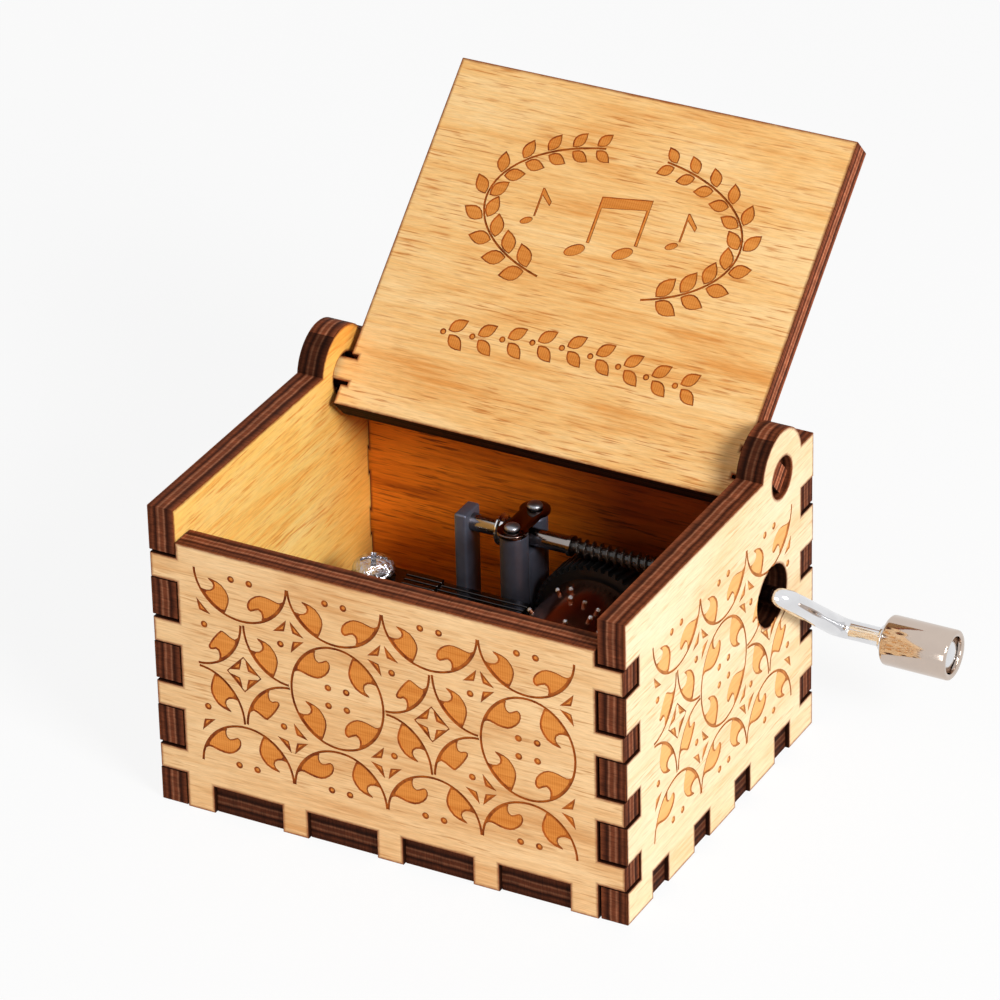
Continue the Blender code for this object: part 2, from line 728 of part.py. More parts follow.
def crank_path():
    """Rings along the rod after the worm, as (x, height along the arm, direction, radius)."""
    arm_x = half_width + arm_wall_gap + arm_radius
    top_x = arm_x + arm_lean
    lean = math.atan2(crank_throw, arm_lean)
    reach = bend_radius * math.tan(lean / 2)
    rings = [(thread_end, 0.0, 0.0, thread_core), (thread_end, 0.0, 0.0, rod_radius),
             (arm_x - reach, 0.0, 0.0, rod_radius)]
    for i in range(1, bend_steps + 1):
        turn = lean * i / bend_steps
        rings.append((arm_x - reach + bend_radius * math.sin(turn), bend_radius * (1 - math.cos(turn)), turn,
                      rod_radius + (arm_radius - rod_radius) * i / bend_steps))
    start_x = top_x + reach - bend_radius * math.sin(lean)
    start_height = crank_throw - bend_radius * (1 - math.cos(lean))
    for i in range(bend_steps + 1):
        turn = lean * (1 - i / bend_steps)
        back = lean - turn
        x = start_x + bend_radius * (math.sin(lean) - math.sin(turn))
        height = start_height + bend_radius * (math.cos(turn) - math.cos(lean))
        rings.append((x, height, turn, arm_radius + (rod_radius - arm_radius) * back / lean))
    crimp_end = knob_left - seat_gap
    head_start = knob_right - knob_recess_depth + seat_gap
    head_end = head_start + rod_head_width
    for x, radius in ((crimp_end - crimp_width, rod_radius), (crimp_end - crimp_width, crimp_radius),
                      (crimp_end, crimp_radius), (crimp_end, rod_radius), (head_start, rod_radius),
                      (head_start, rod_head_radius), (head_start + rod_head_width / 2, rod_head_radius),
                      (head_end, rod_head_radius / 2)):
        rings.append((x, crank_throw, 0.0, radius))
    return rings


def build_crank():
    """The one bent rod: shaft, flange, rolled worm, arm and handle spindle, lofted along its length."""
    pivot = bpy.data.objects.new("crank_pivot", None)
    parts.objects.link(pivot)
    pivot.location = (0.0, shaft_y, shaft_height)
    across = Vector((1.0, 0.0, 0.0)).cross(crank_direction)
    shape = bmesh.new()
    made = {}

    def vertex(point):
        key = tuple(round(value / weld) for value in point)
        if key not in made:
            made[key] = shape.verts.new(point)
        return made[key]

    def ring_point(station, step):
        x, height, turn, radius = station
        angle = 2 * math.pi * (step % rod_steps) / rod_steps
        normal = Vector((-math.sin(turn), 0.0, 0.0)) + crank_direction * math.cos(turn)
        centre = Vector((x, 0.0, 0.0)) + crank_direction * height
        return centre + (normal * math.cos(angle) + across * math.sin(angle)) * radius

    def worm_point(row, step):
        turns = row // len(thread_profile_shares) - 2 + step / rod_steps
        place_share, height_share = thread_profile_shares[row % len(thread_profile_shares)]
        x = thread_start + (turns + place_share) * thread_pitch
        radius = thread_core + (thread_depth * height_share if thread_start < x < thread_end else 0.0)
        return ring_point((min(max(x, thread_start), thread_end), 0.0, 0.0, radius), step)

    def face(*points):
        corners = []
        for point in points:
            found = vertex(point)
            if found not in corners:
                corners.append(found)
        if len(corners) > 2 and shape.faces.get(corners) is None:
            shape.faces.new(corners)

    def skin(stations):
        for near, far in zip(stations, stations[1:]):
            for step in range(rod_steps):
                face(ring_point(near, step), ring_point(near, step + 1), ring_point(far, step + 1),
                     ring_point(far, step))

    shaft_start = post_x - post_thickness / 2 + seat_gap
    before = [(shaft_start, 0.0, 0.0, shaft_radius), (thread_start - flange_width, 0.0, 0.0, shaft_radius),
              (thread_start - flange_width, 0.0, 0.0, flange_radius), (thread_start, 0.0, 0.0, flange_radius),
              (thread_start, 0.0, 0.0, thread_core)]
    after = crank_path()
    skin(before)
    for row in range((thread_turns + 3) * len(thread_profile_shares)):
        for step in range(rod_steps):
            face(worm_point(row, step), worm_point(row, step + 1), worm_point(row + 1, step + 1),
                 worm_point(row + 1, step))
    skin(after)
    for station in (before[0], after[-1]):
        face(*(ring_point(station, step) for step in range(rod_steps)))
    bmesh.ops.recalc_face_normals(shape, faces=shape.faces)
    crank = smooth(add_object("crank_rod", mesh_from(shape, "crank_rod"), chrome))
    crank.parent = pivot

    collar_right = column_x - column_radius - collar_post_gap
    collar_left = collar_right - collar_width
    collar = rod("shaft_collar", (collar_left, 0.0, 0.0), (collar_right, 0.0, 0.0), collar_radius, chrome)
    eye = rod("collar_bore", (collar_left - overrun, 0.0, 0.0), (collar_right + overrun, 0.0, 0.0),
              shaft_radius + running_gap)
    combine(collar, "DIFFERENCE", eye)
    collar.parent = pivot
    eye.parent = pivot
    build_knob(pivot)


def build_knob(pivot):
    """The sleeve that turns freely on the spindle, with the rod's head in its end recess."""
    spindle = bpy.data.objects.new("knob_spindle", None)
    parts.objects.link(spindle)
    spindle.parent = pivot
    spindle.location = crank_direction * crank_throw
    bore = rod_radius + seat_gap
    deep = knob_recess_depth
    rim = knob_radius - knob_round
    profile = [(bore, -deep), (knob_recess_radius, -deep), (knob_recess_radius, 0.0), (rim, 0.0),
               (knob_radius, -knob_round), (knob_radius, knob_round - knob_length), (rim, -knob_length),
               (bore, -knob_length), (bore, -deep)]
    along = at(knob_right, 0.0, 0.0) @ Matrix.Rotation(math.pi / 2, 4, "Y")
    knob = turned("crank_knob", profile, along, chrome, round_steps)
    knob.parent = spindle


def build_clamp():
    """The plate over the shaft and the two rivets that hold it down on the columns."""
    half = column_spacing / 2
    waist = math.asin(clamp_waist / 2 / clamp_radius)
    outline = arc((0.0, half), clamp_radius, waist - math.pi / 2, math.pi * 3 / 2 - waist, round_steps // 2)
    outline += [(-x, -y) for x, y in outline]
    holes = [circle((0.0, y), rivet_shank + running_gap, rod_steps) for y in (-half, half)]
    panel("bearing_clamp_plate", [outline] + holes, clamp_thickness,
          at(column_x, shaft_y, clamp_bottom + clamp_thickness / 2), chrome)
    seat = clamp_bottom + clamp_thickness + seat_gap / 2
    foot = column_top - rivet_depth - seat
    profile = dome(rivet_head, 0.0, rivet_crown) + [(rivet_shank, 0.0), (rivet_shank, foot), (0.0, foot)]
    for name, y in (("front", column_front), ("rear", column_rear)):
        turned("clamp_rivet_" + name, profile, at(column_x, y, seat), dull_steel, rod_steps)


def build_mount_screws():
    """Countersunk screws that hold the bed down from under the bottom panel."""
    for i, (x, y) in enumerate(mount_screw_places):
        profile = [(0.0, mount_screw_length), (mount_screw_shank, mount_screw_length),
                   (mount_screw_shank, mount_screw_cone + seat_gap), (mount_screw_head, seat_gap),
                   (0.0, seat_gap)]
        made = turned("mounting_screw_%d" % (i + 1), profile, at(x, y, 0.0), dull_steel, rod_steps)
        cut = box("mount_slot_%d" % (i + 1), (x - mount_screw_head, y - slot_cut_width / 2, -overrun),
                  (x + mount_screw_head, y + slot_cut_width / 2, slot_cut_depth))
        combine(made, "DIFFERENCE", cut)


# Shares of the thread's pitch and height, from root to crest and back
crest_start_share = 0.20
crest_end_share = 0.44
thread_profile_shares = ((0.0, 0.0), (crest_start_share, 1.0), (crest_end_share, 1.0),
                         (crest_start_share + crest_end_share, 0.0))
tip_width_share = 0.25
root_width_share = 0.56
pin_turn_share = 0.5
pin_sides = 6
bend_steps = 5
dome_steps = 4
weld = 1e-6
flat_angle = math.radians(0.5)
sharp_angle = math.radians(35.0)

for old in list(bpy.data.objects):
    bpy.data.objects.remove(old)
parts = collection("hand_crank_music_box")
cutters = collection("cutters")
plywood = material("plywood", (0.80, 0.52, 0.25), 0.60, 0.0)
pale_plywood = material("pale_plywood", (0.88, 0.68, 0.42), 0.60, 0.0)
casting = material("grey_casting", (0.10, 0.11, 0.14), 0.45, 0.3)
chrome = material("chrome", (0.80, 0.80, 0.80), 0.12, 1.0)
steel = material("plated_steel", (0.62, 0.62, 0.62), 0.25, 1.0)
dark_steel = material("comb_steel", (0.10, 0.09, 0.09), 0.25, 1.0)
dull_steel = material("rivet_steel", (0.45, 0.45, 0.46), 0.35, 1.0)
brass_steel = material("cylinder_metal", (0.55, 0.48, 0.42), 0.22, 1.0)
black_plastic = material("black_plastic", (0.015, 0.015, 0.017), 0.40, 0.0)

build_case()
build_lid()
build_bed()
build_bearing_plate()
build_comb()
build_cylinder()
build_crank()
build_clamp()
build_mount_screws()
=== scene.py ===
from math import atan2, cos, degrees, pi, radians, sin, tan

import bpy
from mathutils import Matrix, Vector


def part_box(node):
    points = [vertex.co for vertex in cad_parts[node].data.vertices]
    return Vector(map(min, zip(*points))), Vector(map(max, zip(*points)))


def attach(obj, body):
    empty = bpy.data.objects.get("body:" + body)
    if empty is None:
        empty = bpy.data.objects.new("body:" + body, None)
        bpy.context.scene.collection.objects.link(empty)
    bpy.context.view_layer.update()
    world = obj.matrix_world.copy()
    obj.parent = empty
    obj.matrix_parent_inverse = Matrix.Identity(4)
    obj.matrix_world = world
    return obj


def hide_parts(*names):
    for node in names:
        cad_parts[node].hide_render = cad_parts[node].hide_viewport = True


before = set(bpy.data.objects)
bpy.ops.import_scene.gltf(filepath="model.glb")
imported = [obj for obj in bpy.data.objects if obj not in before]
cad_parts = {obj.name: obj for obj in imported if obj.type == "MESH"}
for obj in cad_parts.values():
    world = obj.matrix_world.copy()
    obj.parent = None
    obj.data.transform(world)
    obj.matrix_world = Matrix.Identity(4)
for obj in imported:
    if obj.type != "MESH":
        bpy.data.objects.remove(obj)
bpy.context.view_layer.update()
mm = 0.001


# Picking and shaping, as by hand

def only(piece):
    if bpy.context.object and bpy.context.object.mode != "OBJECT":
        bpy.ops.object.mode_set(mode="OBJECT")
    bpy.ops.object.select_all(action="DESELECT")
    if piece:
        piece.select_set(True)
        bpy.context.view_layer.objects.active = piece
    return piece


def named(name):
    made = bpy.context.object
    made.name = name
    made.data.name = name
    return made


def placed(name, data):  # a new object from a mesh, curve, lamp or camera
    made = bpy.data.objects.new(name, data)
    bpy.context.scene.collection.objects.link(made)
    return made


def pick(piece, kind, wanted):  # leaves edit mode on, with only the wanted faces, edges or points selected
    only(piece)
    bpy.ops.object.mode_set(mode="EDIT")
    bpy.ops.mesh.select_mode(type=kind)
    bpy.ops.mesh.select_all(action="DESELECT")
    bpy.ops.object.mode_set(mode="OBJECT")
    for item in piece.data.polygons if kind == "FACE" else piece.data.edges:
        item.select = bool(wanted(item))
    bpy.ops.object.mode_set(mode="EDIT")


def pickAll(piece):
    pick(piece, "FACE", lambda face: True)


def done(piece=None):
    bpy.ops.object.mode_set(mode="OBJECT")
    return piece


def shaped(piece, kind, **settings):
    only(piece)
    step = piece.modifiers.new(kind.lower(), kind)
    for key, value in settings.items():
        setattr(step, key, value)
    bpy.ops.object.modifier_apply(modifier=step.name)
    return piece


def softened(piece, width, segments=2, angle=35):
    return shaped(piece, "BEVEL", width=width * mm, segments=segments, limit_method="ANGLE",
                  angle_limit=radians(angle), use_clamp_overlap=False)


def smoothed(piece, angle=40):
    only(piece)
    bpy.ops.object.shade_smooth_by_angle(angle=radians(angle))
    return piece


def settled(piece):  # puts its place into its mesh
    only(piece)
    bpy.ops.object.transform_apply(location=True, rotation=True, scale=True)
    return piece


def merged(piece, distance):  # without doubles and without edges across flat faces
    pickAll(piece)
    bpy.ops.mesh.remove_doubles(threshold=distance)
    bpy.ops.mesh.dissolve_limited(angle_limit=radians(0.6))
    return done(piece)


def joined(name, pieces):
    only(pieces[0])
    for piece in pieces:
        piece.select_set(True)
    bpy.ops.object.join()
    return named(name)


def block(name, low, high, soft=0.15, segments=2):
    only(None)
    middle = [(a + b) / 2 * mm for a, b in zip(low, high)]
    bpy.ops.mesh.primitive_cube_add(size=1, location=middle)
    made = named(name)
    made.scale = [(b - a) * mm for a, b in zip(low, high)]
    settled(made)
    return softened(made, soft, segments) if soft else made


def facedOut(piece):
    pickAll(piece)
    bpy.ops.mesh.normals_make_consistent(inside=False)
    return done(piece)


def aimed(start, direction):  # a place, in mm, and its own Z along a direction
    turn = Vector(direction).to_track_quat("Z", "Y").to_matrix().to_4x4()
    return Matrix.Translation(Vector(start) * mm) @ turn


def turnedPiece(name, rings, start, direction=(0, 0, 1), sides=48):  # lathe work; rings: (radius, height)
    only(None)
    bpy.ops.mesh.primitive_circle_add(vertices=sides, radius=rings[0][0] * mm, fill_type="NGON")
    made = named(name)
    pickAll(made)
    for (radius, height), (wider, further) in zip(rings, rings[1:]):
        bpy.ops.mesh.extrude_region_move(TRANSFORM_OT_translate={"value": (0, 0, (further - height) * mm)})
        if abs(wider - radius) > 1e-6:
            bpy.ops.transform.resize(value=(wider / radius, wider / radius, 1), center_override=(0, 0, 0))
    facedOut(made)
    made.matrix_world = aimed(start, direction) @ Matrix.Translation((0, 0, rings[0][1] * mm))
    return smoothed(settled(made))


def cleanCopy(nodeName, pieceName):  # a merged copy of a CAD node, to work on
    made = placed(pieceName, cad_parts[nodeName].data.copy())
    made.data.name = pieceName
    only(made)
    bpy.ops.mesh.customdata_custom_splitnormals_clear()
    return merged(made, 1e-6)


def cutAway(piece, cutter, solver, **settings):
    shaped(piece, "BOOLEAN", operation="DIFFERENCE", solver=solver, object=cutter, **settings)
    bpy.data.objects.remove(cutter)


def arcPoints(centre, radii, startAngle, endAngle, steps):
    angles = [radians(startAngle + (endAngle - startAngle) * i / steps) for i in range(steps + 1)]
    return [(centre[0] + radii[0] * cos(a), centre[1] + radii[1] * sin(a)) for a in angles]


def dressed(piece, *materials):
    piece.data.materials.clear()
    for material in materials:
        piece.data.materials.append(material)


def fitted(piece, body, slot, looks, *nodes):  # body, slot (not used), names of finishes and the nodes it stands for
    if looks:
        dressed(piece, *(finishes[look] for look in looks.split()))
    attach(piece, body)
    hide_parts(*nodes)


# Materials

def shadeOf(value):  # a grey level, a mixed colour as it is, or red, green and blue as a picture shows them
    if isinstance(value, float):
        return (value, value, value, 1.0)
    if len(value) == 4:
        return value
    linear = [v / 255 / 12.92 if v <= 10.3 else ((v / 255 + 0.055) / 1.055) ** 2.4 for v in value]
    return (*linear, 1.0)


def node(tree, kind, inputs=None, **settings):
    made = tree.nodes.new("ShaderNode" + kind)
    for key, value in settings.items():
        setattr(made, key, value)
    for key, value in (inputs or {}).items():
        if isinstance(value, bpy.types.NodeSocket):
            tree.links.new(value, made.inputs[key])
        else:
            made.inputs[key].default_value = value
    return made


def calc(operation, *values):  # the first value is a node's output
    return node(values[0].id_data, "Math", dict(enumerate(values)), operation=operation).outputs[0]


def scaled(value, factor, plus=0.0):
    return calc("MULTIPLY_ADD", value, factor, plus)


def ramp(factor, *stops):  # stops: (place, shade)
    made = node(factor.id_data, "ValToRGB", {0: factor})
    elements = made.color_ramp.elements
    for element, (place, shade) in zip(elements, (stops[0], stops[-1])):
        element.position, element.color = place, shadeOf(shade)
    for place, shade in stops[1:-1]:
        elements.new(place).color = shadeOf(shade)
    return made.outputs[0]


def mixed(factor, shade, other, how="MIX"):
    inputs = {0: factor, 6: shade, 7: other}
    return node(shade.id_data, "Mix", inputs, data_type="RGBA", blend_type=how).outputs[2]


def noise(place, scale, detail=4.0, roughness=0.55, distortion=0.0):  # one scale, or one for each axis
    tree = place.id_data
    if isinstance(scale, tuple):
        place = node(tree, "Mapping", {"Vector": place, "Scale": scale}).outputs[0]
        scale = 1.0
    inputs = {"Vector": place, "Scale": scale, "Detail": detail, "Roughness": roughness,
              "Distortion": distortion}
    return node(tree, "TexNoise", inputs).outputs["Fac"]


def axisOf(place, axis):
    return node(place.id_data, "SeparateXYZ", {0: place}).outputs[axis]


def emptyMaterial(name):
    made = bpy.data.materials.new(name)
    made.use_nodes = True
    return made, made.node_tree, made.node_tree.nodes["Principled BSDF"]


def surface(shader, shade, roughness, specular=0.5, bump=()):  # bump: strength, height in mm, pattern
    tree = shader.id_data
    tree.links.new(shade, shader.inputs["Base Color"])
    tree.links.new(roughness, shader.inputs["Roughness"])
    shader.inputs["Specular IOR Level"].default_value = specular
    if bump:
        raised = node(tree, "Bump", {"Strength": bump[0], "Distance": bump[1] * mm, "Height": bump[2]})
        tree.links.new(raised.outputs[0], shader.inputs["Normal"])


# The panels' own frames: along, up and outwards, from the lower left corner of the shown face

boxLow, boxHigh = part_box("bottom_panel")
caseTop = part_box("rear_wall")[1].z
plyThickness = boxHigh.z - boxLow.z
hinge = {"y": 0.0165, "z": caseTop - plyThickness / 2, "open": 138.0}


def facing(origin, along, up, out):
    made = Matrix((along, up, out)).transposed().to_4x4()
    made.translation = origin
    return made


lidTurn = (Matrix.Translation((0, hinge["y"], hinge["z"]))
           @ Matrix.Rotation(-radians(hinge["open"]), 4, "X"))
panelFrames = {
    "front": facing((boxLow.x, boxLow.y, 0), (1, 0, 0), (0, 0, 1), (0, -1, 0)),
    "rear": facing((boxHigh.x, boxHigh.y, 0), (-1, 0, 0), (0, 0, 1), (0, 1, 0)),
    "right": facing((boxHigh.x, boxLow.y, 0), (0, 1, 0), (0, 0, 1), (1, 0, 0)),
    "left": facing((boxLow.x, boxHigh.y, 0), (0, -1, 0), (0, 0, 1), (-1, 0, 0)),
    "base": facing((boxLow.x, boxHigh.y, 0), (1, 0, 0), (0, -1, 0), (0, 0, -1)),
    "lid": lidTurn @ facing((boxLow.x, 0, -plyThickness / 2), (1, 0, 0), (0, -1, 0), (0, 0, -1))}


def panelPlace(tree, panel):  # object coordinates turned to (along, up, outwards) of a panel
    spot = node(tree, "TexCoord").outputs["Object"]
    own = panelFrames[panel]
    return node(tree, "Mapping", {"Vector": spot, "Location": own.translation, "Rotation": own.to_euler()},
                vector_type="TEXTURE").outputs[0]


# Plywood: veneer faces, burnt edges and the laser's engraving

woodTones = {  # light, middle, dark and pore
    "front": ((244, 203, 150), (234, 187, 131), (216, 158, 98), (200, 140, 82)),
    "right": ((247, 224, 186), (243, 214, 170), (233, 197, 145), (219, 174, 120)),
    "lid": ((250, 208, 146), (243, 190, 119), (227, 156, 80), (196, 116, 46)),
    # a darker, more orange copy of the wood: painted shade on the inner faces of the rear wall and the base
    "paintedShade": ((236, 132, 30), (212, 110, 17), (162, 76, 12), (104, 44, 8)),
    "warm": ((255, 215, 132), (255, 207, 114), (250, 178, 82), (230, 142, 54))}
toneOf = {  # outside, inside
    "front": ("front", "warm"), "rear": ("front", "paintedShade"), "right": ("right", "warm"),
    "left": ("front", "warm"), "base": ("front", "paintedShade"), "lid": ("lid", "front")}
woodGrain = {  # scale along, up and outwards, then detail, roughness and distortion
    "slow": ((22, 120, 30), 5, 0.6, 0.6), "streak": ((60, 1300, 300), 6, 0.62, 0.3),
    "fibre": ((520, 5200, 900), 3, 0.55), "pore": ((230, 3600, 700), 2, 0.5, 0.2),
    "clump": ((60, 260, 120), 3, 0.5, 1.0)}
# Painted shade on the inner faces: the side walls darker and warmer towards the rear, the rear wall darker to
# the right
sideCornerShade = (1, 0.0255, 0.50, 1.0, (0.90, 0.70, 0.46, 1.0))  # axis, reach, start, end and deepest tint of the painted shade
paintedCornerShade = {"left": sideCornerShade, "right": sideCornerShade, "rear": (0, 0.0135, 0.0, 0.8, (0.45, 0.28, 0.33, 1.0))}
charTones = {"edge": (128, 66, 36), "halo": (132, 68, 32), "glue": (50, 21, 11), "layer": (112, 58, 36),
             "core": (76, 36, 20), "pale": (150, 95, 68)}
plies = {  # from the shown face inwards
    0.0: "edge", 0.08: "core", 0.18: "layer", 0.25: "core", 0.31: "glue", 0.36: "layer", 0.42: "pale",
    0.48: "layer", 0.58: "layer", 0.64: "pale", 0.69: "core", 0.75: "glue", 0.81: "core", 0.92: "layer",
    1.0: "edge"}
burns = {  # line, dark line, raster and dark raster
    "front": ((176, 92, 26), (122, 50, 5), (226, 147, 68), (200, 116, 42)),
    "right": ((196, 128, 68), (160, 94, 44), (238, 188, 120), (224, 164, 96))}
rasterPitch = 0.30
burnDrift = {"front": (3.0, -0.11)}  # lines get lighter along the panel: slope and start


def grainFields(tree, panel, *wanted):
    place = panelPlace(tree, panel)
    return place, *(noise(place, *woodGrain[name]) for name in wanted)


def woodFace(panel, inner=False):
    made, tree, shader = emptyMaterial(("woodInner_" if inner else "woodFace_") + panel)
    light, middle, dark, deep = woodTones[toneOf[panel][inner]]
    place, slow, streak, fibre, pore, clump = grainFields(tree, panel, *woodGrain)
    figure = scaled(slow, 0.62, scaled(streak, 0.38))
    shade = ramp(figure, (0.37, dark), (0.47, middle), (0.58, light))
    lines = ramp(pore, (0.54, 0.0), (0.68, 1.0))
    lines = scaled(lines, ramp(clump, (0.36, 0.18), (0.60, 0.85)))
    shade = mixed(lines, shade, shadeOf(deep))
    shade = mixed(0.8, shade, ramp(fibre, (0.34, 0.88), (0.64, 1.06)), "MULTIPLY")
    # painted shade, deepening across the inner face
    if inner and panel in paintedCornerShade:
        axis, reach, start, end, shadeTint = paintedCornerShade[panel]
        spot = axisOf(node(tree, "TexCoord").outputs["Object"], axis)
        along = scaled(slow, 0.5, calc("DIVIDE", spot, reach))
        shade = mixed(1.0, shade, ramp(along, (start, 1.0), (end, shadeTint)), "MULTIPLY")
    char = axisOf(node(tree, "UVMap", uv_map="char").outputs[0], 0)
    smoke = noise(place, (900, 900, 900), 4, 0.6)
    char = scaled(char, scaled(smoke, 1.3, 0.45))
    soot = ramp(char, (0.10, 0.0), (0.55, 0.45), (0.98, 0.92))
    shade = mixed(soot, shade, shadeOf(charTones["halo"]))
    height = scaled(lines, -0.8, calc("ADD", streak, fibre))
    surface(shader, shade, scaled(streak, 0.30, 0.42), 0.25, (0.4, 0.04, height))
    return made


def burntEdge(panel, level, name):  # the cut through the plies, browned by the laser
    made, tree, shader = emptyMaterial(name + panel)
    place = panelPlace(tree, panel)
    wander = noise(place, (300, 300, 60), 3, 0.5)
    depth = calc("DIVIDE", axisOf(place, 2), -plyThickness)
    depth = scaled(calc("SUBTRACT", wander, 0.5), 0.09, depth)
    shade = ramp(depth, *((spot, charTones[layer]) for spot, layer in plies.items()))
    striae = noise(place, (4200, 4200, 500), 3, 0.6)
    patch = noise(place, (500, 500, 900), 4, 0.6)
    shade = mixed(0.75, shade, ramp(striae, (0.30, 0.55), (0.68, 1.35)), "MULTIPLY")
    shade = mixed(0.60, shade, ramp(patch, (0.32, 0.62), (0.66, 1.30)), "MULTIPLY")
    shade = mixed(1.0, shade, shadeOf(level), "MULTIPLY")
    surface(shader, shade, scaled(patch, 0.30, 0.50), 0.05, (0.6, 0.06, striae))
    return made


def engravedFill(panel):  # the shallow raster burn inside a motif
    made, tree, shader = emptyMaterial("engravedFill_" + panel)
    shown, dark = burns.get(panel, burns["front"])[2:]
    place, slow, streak, pore = grainFields(tree, panel, "slow", "streak", "pore")
    lines = calc("SINE", scaled(axisOf(place, 0), 2 * pi / (rasterPitch * mm)))
    lines = scaled(lines, 0.06, scaled(streak, 0.50, 0.25))
    lines = scaled(calc("SUBTRACT", pore, 0.5), -0.35, lines)
    lines = scaled(calc("SUBTRACT", slow, 0.5), 0.35, lines)
    shade = ramp(lines, (0.34, dark), (0.64, shown))
    surface(shader, shade, scaled(streak, 0.25, 0.62), 0.15, (0.5, 0.05, lines))
    return made


def engravedLine(panel):  # the darker burn of a line or a motif's rim
    made, tree, shader = emptyMaterial("engravedLine_" + panel)
    shown, dark = burns.get(panel, burns["front"])[:2]
    place = panelPlace(tree, panel)
    patch = noise(place, (700, 700, 700), 4, 0.6)
    slope, start = burnDrift.get(panel, (0.0, 0.0))
    burn = scaled(axisOf(place, 0), slope, calc("ADD", patch, start))
    shade = ramp(burn, (0.34, dark), (0.60, shown))
    surface(shader, shade, scaled(patch, 0.3, 0.55), 0.2)
    return made


# Metals and the gear's plastic

def metal(name, shade, rough, wear, grainScale, metallic=1.0, bumpHeight=0.01, coat=0.0):
    made, tree, shader = emptyMaterial(name)
    spot = node(tree, "TexCoord").outputs["Object"]
    patch = noise(spot, grainScale, 4, 0.6)
    broad = noise(spot, grainScale / 6, 3, 0.5)
    worn = [v * (1 - wear * 2) for v in shadeOf(shade)[:3]]
    base = ramp(broad, (0.35, (*worn, 1.0)), (0.62, shade))
    roughness = scaled(patch, wear * 2, rough - wear)
    surface(shader, base, roughness, bump=(0.4, bumpHeight, patch))
    shader.inputs["Metallic"].default_value = metallic
    shader.inputs["Coat Weight"].default_value = coat
    return made


finishes = {  # name, colour, roughness, wear and size of the grain, then what differs
    "chrome": metal("brightChrome", (226, 226, 228), 0.10, 0.04, 1400.0),
    # the same chrome made darker for the rod's length inside the box: painted shade
    "dimChrome": metal("shadedChrome", (150, 142, 138), 0.14, 0.05, 1400.0),
    # the clamp plate's chrome painted dark brown: a painted reflection of the dark wood around it
    "clamp": metal("clampWithPaintedReflection", (102, 84, 79), 0.12, 0.04, 1500.0),
    "knob": metal("warmNickel", (202, 186, 174), 0.08, 0.03, 1100.0),
    # the worm's dark base stands for painted shade and a painted reflection of the dark box inside
    "worm": metal("wormPaintedDark", (58, 52, 49), 0.10, 0.04, 3400.0, bumpHeight=2.2, coat=1.0),
    "screw": metal("brightScrew", (206, 206, 212), 0.12, 0.06, 1500.0, bumpHeight=6.0),
    "plated": metal("platedSteel", (190, 190, 192), 0.24, 0.06, 1200.0),
    "rivet": metal("greyRivetSteel", (146, 148, 154), 0.38, 0.08, 1800.0),
    "cylinder": metal("polishedCylinder", (166, 116, 92), 0.20, 0.05, 1300.0),
    "comb": metal("darkCombSteel", (70, 66, 66), 0.20, 0.06, 2400.0),
    "casting": metal("greyCasting", (101, 105, 121), 0.36, 0.10, 2600.0, metallic=0.55, bumpHeight=0.03),
    "plastic": metal("blackPlastic", (10, 10, 11), 0.50, 0.08, 1500.0, metallic=0.0, bumpHeight=0.02)}
print("materials made")


# Plywood panels: a copy of the cut panel, its edges eased, its faces ringed by soot and then engraved

panelWork = {
    "chamfer": 0.07, "halo": 0.42, "rimDepth": 0.09, "fillDepth": 0.12, "lineDepth": 0.15, "layerStep": 0.006,
    "overcut": 0.12, "rims": (0.22, 0.24), "lidRims": (0.17, 0.11), "lineWidth": 0.32, "endArea": 34.0,
    "tabRecess": 0.5, "fingerRecess": 0.2, "socketClose": 0.18, "kerf": 0.2}
# burnt edges' level by panel: the base's edges darker, partly painted shade in the tabs' recesses; the lid's
# edges lighter, partly a painted highlight
edgeLevels = {"base": 0.46, "lid": 1.7, "front": 0.95, "rear": 0.85, "left": 0.85, "right": 0.85}
# levels of the other edge kinds: the charred ones darkened also as painted shade, the top edges lightened as
# painted light from above
hiddenLevels = {"charredShadedEdge_": 0.16, "paintedLitTopEdge_": 1.35, "earEdge_": 0.36}


